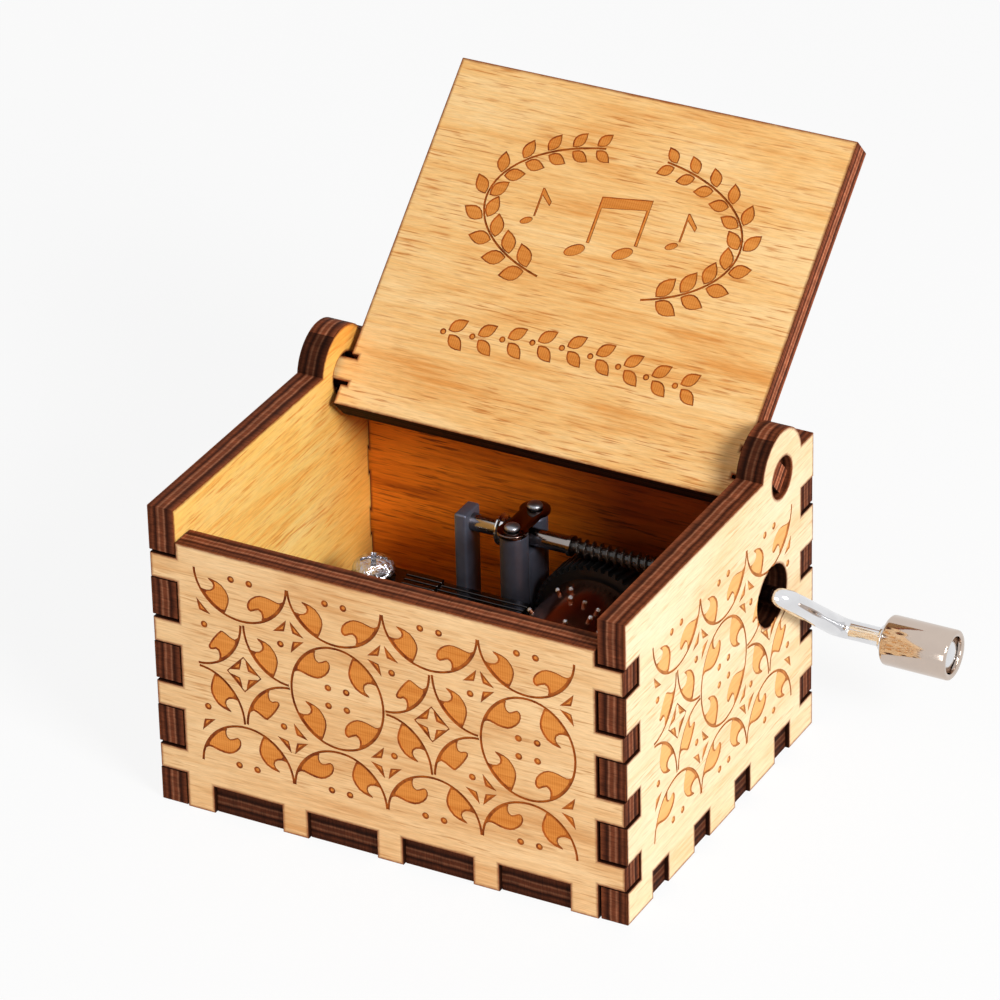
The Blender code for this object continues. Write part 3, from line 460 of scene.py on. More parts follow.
def panelCopy(nodeName, pieceName, panel):
    made = cleanCopy(nodeName, pieceName)
    out = panelFrames[panel].to_3x3().col[2]
    inside = plyThickness + panelWork["kerf"] * mm

    def moved(axis, shift, wanted):  # the faces that look along an axis, at both sides, moved outwards
        for way in (-1, 1):
            pick(made, "FACE", lambda face: face.normal.dot(axis) * way > 0.99 and wanted(face, way))
            bpy.ops.transform.translate(value=tuple(axis * way * shift * mm))
            done()

    def endsAt(axis, place):  # the ends of tabs, fingers or sockets at one place
        return lambda face, way: (abs(face.center.dot(axis) - way * place) < 1e-5
                                  and face.area < panelWork["endArea"] * mm * mm)
    alongX, alongY = Vector((1, 0, 0)), Vector((0, 1, 0))
    for axis, half, across, limit, closing in (
            (alongY, boxHigh.y, alongX, boxHigh.x, ("left", "right", "base")),
            (alongX, boxHigh.x, alongY, boxHigh.y, ("rear", "base"))):
        if panel != "lid" and abs(axis.dot(out)) < 0.5:
            moved(axis, -panelWork["tabRecess" if panel == "base" else "fingerRecess"], endsAt(axis, half))
        if panel in closing:
            moved(axis, panelWork["socketClose"], endsAt(axis, half - inside))
        if panel == "base":  # the tabs' sides, out to their sockets' sides
            moved(axis, panelWork["socketClose"],
                  lambda face, way: abs(face.center.dot(across)) > limit - plyThickness)
    softened(made, panelWork["chamfer"], 1, 30)

    def charredAndShaded(face):  # burnt darker, with painted shade, in the notches, the crank's hole and under the open lid
        if panel == "lid":
            return face.center.z < hinge["z"] - 0.3 * mm
        ends = abs(face.center.x) > boxHigh.x - 0.6 * mm or abs(face.center.y) > boxHigh.y - 0.6 * mm
        flat = max(abs(face.normal.x), abs(face.normal.y)) > 0.99
        return panel != "base" and mm < face.center.z < caseTop - 5 * mm and not (flat and ends)

    def finishOf(face):  # 0 and 2 the two faces, 1 burnt edge, 3 charred with painted shade, 4 top edge painted lighter as if lit from above, 5 front of the ear
        if abs(face.normal.dot(out)) > 0.99:
            return 0 if face.normal.dot(out) > 0 else 2
        if charredAndShaded(face):
            return 3
        # up-facing top edges take the lighter edge finish: painted light from above
        if panel != "lid" and face.normal.z > 0.9 and abs(face.center.z - caseTop) < 5 * mm:
            return 4
        return 5 if face.center.z > caseTop + 0.2 * mm and face.normal.y < -0.1 else 1
    dressed(made, woodFace(panel), burntEdge(panel, edgeLevels[panel], "burntEdge_"), woodFace(panel, True),
            *(burntEdge(panel, level, name) for name, level in hiddenLevels.items()))
    for face in made.data.polygons:
        face.material_index = finishOf(face)
    pick(made, "FACE", lambda face: face.material_index in (0, 2))
    bpy.ops.mesh.inset(thickness=panelWork["halo"] * mm, use_even_offset=True, use_boundary=True)
    done()
    inner = {index for face in made.data.polygons if face.select for index in face.vertices}
    for layer in list(made.data.uv_layers):
        made.data.uv_layers.remove(layer)
    char = made.data.uv_layers.new(name="char")  # 1 at a face's burnt edge, 0 inside
    for loop in made.data.loops:
        char.data[loop.index].uv = (0.0 if loop.vertex_index in inner else 1.0, 0.5)
    only(made)
    bpy.ops.object.shade_flat()
    return made


def drawnMesh(name, lines, closed, **settings):  # lines of (x, y, z, radius), in mm, as one mesh
    drawn = bpy.data.curves.new(name, "CURVE")
    for key, value in settings.items():
        setattr(drawn, key, value)
    for points in lines:
        line = drawn.splines.new("POLY")
        line.points.add(len(points) - 1)
        for point, (x, y, z, radius) in zip(line.points, points):
            point.co, point.radius = (x * mm, y * mm, z * mm, 1), radius
        line.use_cyclic_u = closed
    only(placed(name, drawn))
    bpy.ops.object.convert(target="MESH")
    return named(name)


def apart(spot, start, end):  # how far a point is from a straight line's piece
    along = end - start
    share = max(0.0, min(1.0, (spot - start).dot(along) / along.length_squared))
    return (spot - start - along * share).length


def shrunk(outline, rim):  # the outline drawn inwards, without its points where the shape is too narrow
    points = [Vector(point) for point in outline]
    ring = list(zip(points, points[1:] + points[:1]))
    way = 1 if sum(near.x * far.y - far.x * near.y for near, far in ring) > 0 else -1
    made = []
    for i, (point, far) in enumerate(ring):
        after = (far - point).normalized()
        ahead = (after + (point - points[i - 1]).normalized()).normalized()
        spot = point + Vector((-ahead.y, ahead.x)) * way * rim / max(0.4, ahead.dot(after))
        if all(apart(spot, start, end) > 0.95 * rim for start, end in ring):
            made.append(tuple(spot))
    return made


def cutterFrom(flat, panel, depth, finish):
    dressed(flat, finish)
    pick(flat, "FACE", lambda face: face.normal.z < 0)
    bpy.ops.mesh.flip_normals()
    pickAll(flat)
    height = (depth + panelWork["overcut"]) * mm
    bpy.ops.mesh.extrude_region_move(TRANSFORM_OT_translate={"value": (0, 0, height)})
    done()
    flat.matrix_world = panelFrames[panel] @ Matrix.Translation((0, 0, -depth * mm))
    return settled(flat)


def engrave(piece, panel, fills, smalls, *lineLayers):  # each layer a little deeper: crossings stay clean
    fill, line = engravedFill(panel), engravedLine(panel)
    rims = panelWork["lidRims" if panel == "lid" else "rims"]
    inner = [shrunk(shape, rims[0]) for shape in fills] + [shrunk(shape, rims[1]) for shape in smalls]
    inner = [shape for shape in inner if len(shape) > 2]
    layers = [(fills + smalls, panelWork["rimDepth"], line), (inner, panelWork["fillDepth"], fill)]
    layers += [(shapes, panelWork["lineDepth"] + panelWork["layerStep"] * i, line)
               for i, shapes in enumerate(lineLayers)]
    for i, (shapes, depth, finish) in enumerate(layers):
        lines = [[(*point, 0, 1) for point in shape] for shape in shapes]
        flat = drawnMesh("cutter_%s_%d" % (panel, i), lines, True, dimensions="2D", fill_mode="BOTH")
        cutter = cutterFrom(merged(flat, 1e-7), panel, depth, finish)
        cutAway(piece, cutter, "MANIFOLD", material_mode="TRANSFER")


def strip(points, width, closed=False):  # a drawn line of some width, as one outline, or two for a ring
    left, right = [], []
    count = len(points)
    for i, point in enumerate(points):
        before = points[(i - 1) % count] if closed or i else point
        after = points[(i + 1) % count] if closed or i < count - 1 else point
        along = Vector((after[0] - before[0], after[1] - before[1])).normalized()
        side = Vector((-along.y, along.x)) * width / 2
        left.append((point[0] + side.x, point[1] + side.y))
        right.append((point[0] - side.x, point[1] - side.y))
    return [left, right] if closed else [left + right[::-1]]


# The scroll ornament of the four walls, in mm from the lower left corner

ornament = {"pitch": 12.68, "radius": 6.2, "middle": 21.2, "tall": 7.0, "topCentre": 34.85, "topTall": 6.2,
            "footCentre": 7.2, "footTall": 6.45, "star": (2.3, 2.4), "starLine": 0.24, "dot": 0.47,
            "dotSpread": 1.25, "innerDot": (1.15, 1.35), "crossing": 7.25}
starCorner = ((0.10, 0.92), (0.92, 0.10), (0.56, 0.165), (0.25, 0.23), (0.165, 0.55))
curlOutlines = {  # in a circle of radius 1, from the line inwards, closed by the circle's own arc
    "round": [(-0.94, 0.31), (-0.89, 0.35), (-0.85, 0.365), (-0.80, 0.365), (-0.72, 0.345), (-0.63, 0.32),
              (-0.52, 0.305), (-0.42, 0.31), (-0.33, 0.345), (-0.24, 0.41), (-0.17, 0.49), (-0.135, 0.58),
              (-0.135, 0.65), (-0.16, 0.70), (-0.21, 0.725), (-0.26, 0.705), (-0.32, 0.67), (-0.38, 0.65),
              (-0.43, 0.68), (-0.455, 0.73), (-0.46, 0.80), (-0.44, 0.86)],
    "hooked": [(-0.92, 0.37), (-0.86, 0.34), (-0.76, 0.30), (-0.66, 0.27), (-0.58, 0.258), (-0.49, 0.27),
               (-0.39, 0.32), (-0.29, 0.41), (-0.235, 0.52), (-0.205, 0.64), (-0.20, 0.71), (-0.235, 0.69),
               (-0.29, 0.62), (-0.35, 0.595), (-0.41, 0.61), (-0.46, 0.67), (-0.48, 0.75), (-0.475, 0.82),
               (-0.46, 0.88)],
    "kite": [(-0.95, 0.27), (-0.90, 0.32), (-0.85, 0.35), (-0.77, 0.325), (-0.69, 0.28), (-0.60, 0.236),
             (-0.55, 0.236), (-0.457, 0.323), (-0.36, 0.44), (-0.30, 0.53), (-0.262, 0.60), (-0.265, 0.645),
             (-0.30, 0.672), (-0.36, 0.665), (-0.42, 0.64), (-0.47, 0.66), (-0.494, 0.72), (-0.494, 0.79),
             (-0.47, 0.86)]}


def curl(centre, radii, quarter, kind):  # quarter 0 is upper left, then on by quarter turns to the left
    made = []
    for point in curlOutlines[kind] + arcPoints((0, 0), (0.995, 0.995), 119, 159, 6):
        point = Vector(point)
        for _ in range(quarter):
            point = Vector((-point.y, point.x))
        made.append((centre[0] + point.x * radii[0], centre[1] + point.y * radii[1]))
    return made


def curls(centre, radii, quarters, even="round"):
    return [curl(centre, radii, quarter, "hooked" if quarter % 2 else even) for quarter in quarters]


def dotShape(centre, radius):
    return arcPoints(centre, (radius, radius), 0, 360, 14)[:-1]


def starQuarter(centre, across, up):  # one of the four filled corners round a small star
    width, height = ornament["star"]
    return [(centre[0] + across * width * a, centre[1] + up * height * b) for a, b in starCorner]


def wallOrnament(first, pitch, kinds):  # kinds: a circle or a diamond in each cell of the middle row
    fills, smalls, dots, layers = [], [], [], [[], [], [], []]
    radius, spread = ornament["radius"] * pitch / ornament["pitch"], ornament["dotSpread"]
    middle, tall = ornament["middle"], ornament["tall"]
    topTall, footTall = ornament["topTall"], ornament["footTall"]
    high, low = middle + ornament["crossing"] - 0.2, middle - ornament["crossing"]
    width = panelWork["lineWidth"]
    both = (-1, 1)
    for i, kind in enumerate(kinds):
        u = first + i * pitch
        top, foot = (u, ornament["topCentre"]), (u, ornament["footCentre"])
        layers[i % 2] += strip(arcPoints(top, (radius + 0.06, topTall), 182, 358, 30), width)
        layers[i % 2] += strip(arcPoints(foot, (radius + 0.06, footTall), 2, 178, 30), width)
        fills += curls(top, (radius, topTall), (1, 2)) + curls(foot, (radius, footTall), (0, 3))
        dots += [(u + a * spread, v) for a in both for v in (top[1] - 0.7, foot[1] + 0.8)]
        if kind == "circle":
            layers[2] += strip(arcPoints((u, middle), (radius, tall), 0, 360, 64)[:-1], width, True)
            fills += curls((u, middle), (radius, tall), range(4))
            dots += [(u + a * spread, middle + b * spread) for a in both for b in both]
        else:
            size = (radius - 0.05, tall - 0.05)
            for i, (a, v) in enumerate(((-1, high), (1, high), (1, low), (-1, low))):
                corner, quarter, start = (u + a * pitch / 2, v), (2 - i) % 4, 270 - 90 * i
                layers[2 + quarter % 2] += strip(arcPoints(corner, size, start + 1, start + 88, 18), width)
                fills += curls(corner, size, (quarter,), "kite")
            across, up = ornament["star"]
            rhombus = [(u, middle + up), (u - across, middle), (u, middle - up), (u + across, middle)]
            layers[3] += strip(rhombus, ornament["starLine"], True)
            smalls += [starQuarter((u, middle), a, b) for a in both for b in both]
    for i in range(len(kinds) + 1):
        u = first + (i - 0.5) * pitch
        for v, inwards in ((high, -1), (low, 1)):
            for a in both:
                neighbour = i if a > 0 else i - 1
                if not 0 <= neighbour < len(kinds):
                    continue
                for b in both:
                    if kinds[neighbour] == "diamond" and b == inwards:
                        dots.append((u + a * ornament["innerDot"][0], v + b * ornament["innerDot"][1]))
                    else:
                        smalls.append(starQuarter((u, v), a, b))
    smalls += [dotShape(place, ornament["dot"]) for place in dots]
    return (fills, smalls, *layers)


longCells = ("diamond", "circle", "diamond", "circle")
walls = {
    "front": {"slot": "plywood", "first": 12.6, "pitch": 12.84, "kinds": longCells},
    "rear": {"slot": "plywood", "first": 12.98, "pitch": 12.68, "kinds": longCells},
    "right": {"slot": "pale_plywood", "first": 13.5, "pitch": 12.5, "kinds": longCells[:3]},
    "left": {"slot": "pale_plywood", "first": 12.5, "pitch": 12.5, "kinds": longCells[:3]}}

for panel, wall in walls.items():
    made = panelCopy(panel + "_wall", panel + "Panel", panel)
    engrave(made, panel, *wallOrnament(wall["first"], wall["pitch"], wall["kinds"]))
    fitted(made, "box", wall["slot"], "", panel + "_wall")
    print("panel", panel, len(made.data.polygons), "faces")

fitted(panelCopy("bottom_panel", "basePanel", "base"), "box", "plywood", "", "bottom_panel")
print("base panel made")


# Lid with an engraved wreath and notes on the face that closes downwards, and a border of leaves and dots

wreath = {"centre": (32.0, 26.0), "radii": (17.5, 9.6), "leaves": 10, "leaf": (3.5, 1.05), "lean": 40,
          "taper": 0.30, "start": -66, "end": 76, "stem": 0.28}
notes = (("pair", -3.6, -4.4, 3.6), ("quaver", -11.2, -2.0, 2.2), ("quaver", 8.6, -1.2, 2.2))
noteParts = {  # in note sizes: the heads' middles, then the outline of the stems with their flag or beam
    "quaver": ([(0, 0)], [(0, 0.35), (0.13, 0.35), (0.13, 1.638), (0.75, 1.092), (0.80, 1.386), (0.13, 2.1),
                          (0, 2.1)]),
    "pair": ([(0, 0), (1.75, 0.25)], [(0, 0.35), (0.13, 0.35), (0.13, 1.68), (1.75, 1.93), (1.75, 0.60),
                                      (1.88, 0.60), (1.88, 2.35), (0, 2.1)])}
border = {"count": 9, "step": 4.0, "leaf": (2.9, 0.85), "lean": 38, "height": 8.6, "wave": 0.7, "dot": 0.42}
leafOutline = (  # share of the length, share of the half width
    (0, 0.0), (0.10, 0.42), (0.24, 0.80), (0.42, 1.0), (0.60, 0.92), (0.78, 0.60), (0.92, 0.22), (1.0, 0.0))


def evenly(points, count):  # the same line, cut into steps of one length
    lengths = [0.0]
    for near, far in zip(points, points[1:]):
        lengths.append(lengths[-1] + (Vector(far) - Vector(near)).length)
    made, at = [], 0
    for i in range(count + 1):
        wanted = lengths[-1] * i / count
        while at < len(points) - 2 and lengths[at + 1] < wanted:
            at += 1
        share = (wanted - lengths[at]) / (lengths[at + 1] - lengths[at])
        made.append(tuple(Vector(points[at]).lerp(Vector(points[at + 1]), share)))
    return made


def leafShape(place, angle, size):
    outline = [(share * size[0], width * size[1]) for share, width in leafOutline]
    outline += [(along, -side) for along, side in outline[-2:0:-1]]
    (x, y), across, up = place, cos(radians(angle)), sin(radians(angle))
    return [(x + a * across - b * up, y + a * up + b * across) for a, b in outline]


def noteShapes(kind, x, y, size):
    heads, stems = noteParts[kind]
    ring = [(cos(2 * pi * i / 20), sin(2 * pi * i / 20)) for i in range(20)]
    made = [[(x + size * (a + 0.36 * across + 0.05 * up), y + size * (b + 0.24 * up + 0.10 * across))
             for across, up in ring] for a, b in heads]
    return made + [[(x + size * (0.31 + a), y + size * b) for a, b in stems]]


def lidDesign():
    fills, stems = [], []
    (u, v), radii = wreath["centre"], wreath["radii"]
    steps = wreath["leaves"] * 4
    for side in (-1, 1):
        arc = arcPoints((u, v), (side * radii[0], radii[1]), wreath["start"], wreath["end"], 200)
        stem = evenly(arc, steps)
        stems += strip(stem, wreath["stem"])
        for i in range(2, steps - 1, 4):
            place, ahead = Vector(stem[i]), Vector(stem[i + 1]) - Vector(stem[i])
            along = degrees(atan2(ahead.y, ahead.x))
            grow = 1.0 - wreath["taper"] * i / len(stem)
            for turn in (-1, 1):
                lean = radians(along + turn * wreath["lean"])
                away = place + Vector((cos(lean), sin(lean))) * 0.45
                fills.append(leafShape(away, degrees(lean), [part * grow for part in wreath["leaf"]]))
    drawn = [shape for kind, across, up, size in notes
             for shape in noteShapes(kind, u + across, v + up, size)]
    places = [(u - 16 + i * border["step"], border["wave"] * cos(i * pi / 4 - pi))
              for i in range(border["count"])]
    for across, wave in places:
        up = border["height"] + wave
        fills.append(leafShape((across, up), border["lean"], border["leaf"]))
        fills.append(leafShape((across + 0.3, up - 0.5), -border["lean"], border["leaf"]))
    for across, wave in places:
        fills.append(dotShape((across - 0.6, border["height"] - 0.3 + wave), border["dot"]))
    return fills, drawn, stems


lidPanel = panelCopy("lid_panel", "lidPanel", "lid")
engrave(lidPanel, "lid", *lidDesign())
fitted(lidPanel, "lid", "plywood", "", "lid_panel")
print("lid panel", len(lidPanel.data.polygons), "faces")


# Where the movement's pieces are, in mm

def boxOf(nodeName):  # its lowest and highest corner and its middle
    low, high = (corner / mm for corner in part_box(nodeName))
    return low, high, (low + high) / 2


collarLow, collarHigh, shaft = boxOf("shaft_collar")
arborLow, arborHigh, drum = boxOf("cylinder_arbor")
bedLow, bedHigh = boxOf("movement_bed")[:2]
combLow, combHigh = boxOf("comb")[:2]
bracketLow, bracketHigh = boxOf("front_bearing_plate")[:2]
drumLow, drumHigh = boxOf("pinned_cylinder")[:2]
clampBox = boxOf("bearing_clamp_plate")
columnX, columnTop = clampBox[2].x, clampBox[0].z - 0.02


# Bed casting, with its block, post, columns and upright

casting = {
    "foot": 4.6, "plateTop": 5.7, "corner": 2.0, "blockLength": 6.0, "combThick": 1.2, "postThick": 1.7,
    "postDeep": 3.8, "postTop": shaft.z + 1.65, "postX": -9.997, "columnGap": 5.2, "web": (1.72, 2.6, 1.6),
    "uprightWidth": 6.0, "uprightRear": 18.1, "uprightFront": 16.3, "uprightCover": 2.6,
    "boss": (16.0, -14.54, 2.2, 7.7)}


def uprightPlate(name, foot, top, width, rear, front, soft):  # a flat upright with a round head
    made = block(name, (drum.x - width / 2, front, foot), (drum.x + width / 2, rear, top), 0)
    topZ = top * mm

    def topEdge(edge):
        ends = [made.data.vertices[index].co for index in edge.vertices]
        return all(abs(end.z - topZ) < 1e-6 for end in ends) and abs(ends[0].x - ends[1].x) < 1e-6
    pick(made, "EDGE", topEdge)
    bpy.ops.mesh.bevel(offset=(width / 2 - 0.002) * mm, segments=16, affect="EDGES")
    done()
    return smoothed(softened(made, soft, 2), 30)


def makeCasting():
    foot = casting["foot"]
    plate = block("bedPlate", bedLow, (bedHigh.x, bedHigh.y, casting["plateTop"]), 0)
    spots = plate.data.vertices
    pick(plate, "EDGE", lambda edge: abs(spots[edge.vertices[0]].co.z - spots[edge.vertices[1]].co.z) > mm)
    bpy.ops.mesh.bevel(offset=casting["corner"] * mm, segments=8, affect="EDGES")
    done()
    parts = [softened(plate, 0.25)]
    top = (combLow.x + casting["blockLength"], combHigh.y, combHigh.z - casting["combThick"] - 0.3)
    parts.append(block("combBlock", (combLow.x, combLow.y, foot), top, 0.3))
    thick, deep, postX = casting["postThick"] / 2, casting["postDeep"] / 2, casting["postX"]
    parts.append(block("shaftPost", (postX - thick, shaft.y - deep, foot),
                       (postX + thick, shaft.y + deep, casting["postTop"]), 0.32, 3))
    column = [(2.25, 5.2), (1.95, 5.7), (1.84, 6.6), (1.80, 16.0), (1.78, columnTop - 0.25),
              (1.56, columnTop)]
    for side in (-1, 1):
        parts.append(turnedPiece("column", column, (columnX, shaft.y + side * casting["columnGap"] / 2, 0)))
    wide, deep, drop = casting["web"]
    parts.append(block("columnWeb", (columnX - wide, shaft.y - deep, foot),
                       (columnX + wide, shaft.y + deep, shaft.z - drop), 0.3))
    x, y, radius, top = casting["boss"]
    boss = [(radius + 0.3, 5.2), (radius + 0.05, 5.8), (radius - 0.05, top - 0.3), (radius - 0.35, top)]
    parts.append(turnedPiece("screwBoss", boss, (x, y, 0), sides=40))
    parts.append(uprightPlate("rearUpright", foot, drum.z + casting["uprightCover"], casting["uprightWidth"],
                              casting["uprightRear"], casting["uprightFront"], 0.25))
    for part in parts:
        smoothed(part, 35)
    return joined("bedCasting", parts)


fitted(makeCasting(), "box", "grey_casting", "casting", "movement_bed")
print("casting made")


# Front bearing bracket, its arbor, the drum with its pins, and the end cap

bracket = {"thick": 1.2, "width": 6.0, "soft": 0.12}
foot = block("bracketFoot", bracketLow, (bracketHigh.x, bracketHigh.y, bracketLow.z + bracket["thick"]),
             bracket["soft"])
upright = uprightPlate("bracketUpright", bracketLow.z, bracketHigh.z, bracket["width"], bracketHigh.y,
                       bracketHigh.y - bracket["thick"], bracket["soft"])
fitted(joined("bearingBracket", [foot, upright]), "box", "plated_steel", "plated", "front_bearing_plate")

drumShape = {
    "radius": 7.1, "wall": 0.8, "edge": 0.12, "depth": 0.6, "steps": 48, "tracks": 18, "pitch": 1.03,
    "pin": [(0.33, -0.4), (0.33, 0.38), (0.29, 0.56), (0.14, 0.68)]}


def tunePins():  # the same rolling tune as the model's cylinder
    pins, tracks = set(), drumShape["tracks"]
    for step in range(drumShape["steps"]):
        pins.add((step, (5 * step + step * step // 7) % tracks))
        if step % 2 == 0:
            pins.add((step, (step // 4 * 3 + 9) % tracks))
        if step % 6 == 0:
            pins.add((step, tracks - 1 - step // 6 % 5))
    return sorted(pins)


def makeDrum():
    radius, edge, depth = drumShape["radius"], drumShape["edge"], drumShape["depth"]
    inner, length = radius - drumShape["wall"], drumHigh.y - drumLow.y
    rings = [(inner, depth), (inner, 0.0), (radius - edge, 0.0), (radius, edge), (radius, length - edge),
             (radius - edge, length), (inner, length), (inner, length - depth)]
    tube = turnedPiece("pinnedDrum", rings, (drum.x, drumLow.y, drum.z), (0, 1, 0), 128)
    pin = turnedPiece("drumPin", drumShape["pin"], (0, 0, 0), sides=12)
    parts = [tube]
    for step, track in tunePins():
        angle = 2 * pi * (step + 0.5) / drumShape["steps"]
        outward = Vector((cos(angle), 0, sin(angle)))
        copied = placed("drumPin", pin.data.copy())
        centre = Vector((drum.x, combLow.y + (track + 0.5) * drumShape["pitch"], drum.z)) + outward * radius
        copied.matrix_world = aimed(centre, outward)
        parts.append(settled(copied))
    bpy.data.objects.remove(pin)
    made = joined("pinnedDrum", parts)
    fitted(made, "cylinder", "cylinder_metal", "cylinder screw", "pinned_cylinder")
    for face in made.data.polygons:
        away = Vector((face.center.x / mm - drum.x, face.center.z / mm - drum.z))
        face.material_index = 1 if away.length > radius + 0.01 else 0


makeDrum()
cap = turnedPiece("drumCap", [(1.6, -0.25), (2.0, -0.25), (2.3, 0.05), (5.4, 0.10), (6.0, 0.0), (6.1, 0.2),
                              (6.1, 1.4)], (drum.x, drumLow.y, drum.z), (0, 1, 0), 72)
fitted(cap, "cylinder", "chrome", "chrome", "cylinder_end_cap")
arborLength = arborHigh.y - arborLow.y
arbor = turnedPiece("drumArbor", [(0.8, 0.0), (1.0, 0.2), (1.0, arborLength - 0.2), (0.8, arborLength)],
                    (drum.x, arborLow.y, drum.z), (0, 1, 0), 32)
fitted(arbor, "cylinder", "chrome", "chrome", "cylinder_arbor")
print("cylinder made")


# Screws and rivets: head height, straight rim, shank radius, and the slot's width and depth

screwKinds = {
    "combScrew": {"head": 1.7, "rim": 0.5, "shank": 1.2, "finish": "screw", "metal": "chrome",
                  "slot": (0.7, 0.8), "swell": 0.40, "cross": 1.7},
    "plateScrew": {"head": 0.8, "rim": 0.25, "shank": 0.6, "finish": "chrome", "metal": "chrome",
                   "slot": (0.6, 0.45)},
    "rivet": {"head": 0.7, "rim": 0.15, "shank": 0.6, "finish": "rivet", "metal": "rivet_steel"}}
crossTurn = 0.5


def domeRings(radius, crown, rim, steps=7):
    angles = [pi / 2 * i / steps for i in range(1, steps)]
    domed = [(radius * cos(a), rim + (crown - rim) * sin(a)) for a in angles]
    return [(radius, rim)] + domed + [(radius * 0.06, crown)]


def cutSlots(piece, x, y, low, high, halves, turn=0.0):  # halves: each slot's half length and half width
    for long, wide in halves:
        cutter = block("slotCutter", (x - long, y - wide, low), (x + long, y + wide, high), 0)
        if turn:
            pickAll(cutter)
            bpy.ops.transform.rotate(value=-turn, orient_axis="Z", center_override=(x * mm, y * mm, 0))
            done()
        cutAway(piece, cutter, "EXACT")


def headScrew(pieceName, nodeName, kind):
    low, high, (x, y, _) = boxOf(nodeName)
    swell, cross = kind.get("swell", 0), kind.get("cross", 0)
    radius, seat = (high.x - low.x) / 2 + swell, high.z - kind["head"]
    rings = [(kind["shank"], low.z), (kind["shank"], seat), (radius * 0.94, seat), (radius, seat + 0.12)]
    rings += domeRings(radius, high.z + swell / 2, seat + kind["rim"])
    made = turnedPiece(pieceName, rings, (x, y, 0))
    if "slot" in kind:
        width, depth = kind["slot"]
        halves = [(cross or radius + 0.5, width / 2)] + ([(width / 2, cross)] if cross else [])
        cutSlots(made, x, y, high.z - depth, high.z + 0.5, halves, crossTurn if cross else 0.0)
        smoothed(made, 35)
    fitted(made, "box", kind["metal"], kind["finish"], nodeName)


for name, nodeStart, ends in (("combScrew", "comb_screw_", ("front", "rear")),
                              ("plateScrew", "plate_screw_", ("left", "right")),
                              ("rivet", "clamp_rivet_", ("front", "rear"))):
    for end in ends:
        headScrew(name + end.capitalize(), nodeStart + end, screwKinds[name])

mountScrew = {"head": 2.2, "edge": 0.12, "shank": 1.0, "coneTop": 1.7, "tip": 0.5, "cross": (1.3, 0.28)}
for i in (1, 2, 3):
    low, high, (x, y, _) = boxOf("mounting_screw_%d" % i)
    head, edge, shank, tip = (mountScrew[key] for key in ("head", "edge", "shank", "tip"))
    rings = [(head - 0.15, low.z), (head, low.z + edge), (shank, mountScrew["coneTop"]),
             (shank, high.z - tip), (shank / 2, high.z)]
    screw = turnedPiece("mountScrew%d" % i, rings, (x, y, 0), sides=40)
    cutSlots(screw, x, y, low.z - 0.5, low.z + 0.6, (mountScrew["cross"], mountScrew["cross"][::-1]))
    fitted(smoothed(screw, 30), "box", "rivet_steel", "rivet", "mounting_screw_%d" % i)
print("screws made")


# Clamp plate over the shaft, the comb, and the gear in its own shape

clamp = smoothed(softened(cleanCopy("bearing_clamp_plate", "clampPlate"), 0.16, 3, 50), 50)
fitted(clamp, "box", "chrome", "clamp", "bearing_clamp_plate")
comb = softened(cleanCopy("comb", "toneComb"), 0.05, 1, 50)
fitted(comb, "box", "comb_steel", "comb", "comb")
dressed(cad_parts["cylinder_gear"], finishes["plastic"])
print("clamp and comb made")


# Crank: shaft, flange, worm, bent arm and handle spindle, then the collar and the knob

crankAngle = radians(-39.5)
crankOut = Vector((0, cos(crankAngle), sin(crankAngle)))
shaftCentre = Vector((0, shaft.y, shaft.z))
crank = {
    "throw": 16.8, "rod": 1.2, "shaft": 1.15, "arm": 1.35, "wormStart": 4.9, "wormTurns": 13, "pitch": 1.04,
    "wormCore": 0.80, "wormCrest": 1.25, "crestShare": 0.32, "bend": 1.8, "armX": 32.0 + 0.45 + 1.35,
    "lean": 1.2, "knobLeft": 41.6, "knobRight": 50.5}
wormEnd = crank["wormStart"] + crank["wormTurns"] * crank["pitch"]
spindleCentre = shaftCentre + crankOut * crank["throw"]


def rodPath():  # points (x, height over the shaft, radius) of the rod from the worm to the knob's end
    lean = atan2(crank["throw"], crank["lean"])
    bend, rod, arm = crank["bend"], crank["rod"], crank["arm"]
    reach = bend * tan(lean / 2)
    startX = crank["armX"] + crank["lean"] + reach - bend * sin(lean)
    startHeight = crank["throw"] - bend * (1 - cos(lean))
    steps = 12
    path = [(wormEnd, 0, rod)]
    for i in range(steps + 1):
        turn = lean * i / steps
        path.append((crank["armX"] - reach + bend * sin(turn), bend * (1 - cos(turn)),
                     rod + (arm - rod) * i / steps))
    for i in range(steps + 1):
        turn = lean * (1 - i / steps)
        path.append((startX + bend * (sin(lean) - sin(turn)),
                     startHeight + bend * (cos(turn) - cos(lean)), arm + (rod - arm) * i / steps))
    path.append((crank["knobRight"] - 1.0, crank["throw"], rod))
    return path


def bentRod():
    path = [(*(shaftCentre + Vector((x, 0, 0)) + crankOut * height), size) for x, height, size in rodPath()]
    made = drawnMesh("crankArm", [path], False, dimensions="3D", bevel_depth=mm, bevel_resolution=8,
                     use_fill_caps=True)
    pickAll(made)
    bpy.ops.mesh.remove_doubles(threshold=1e-7)
    return smoothed(facedOut(made), 50)


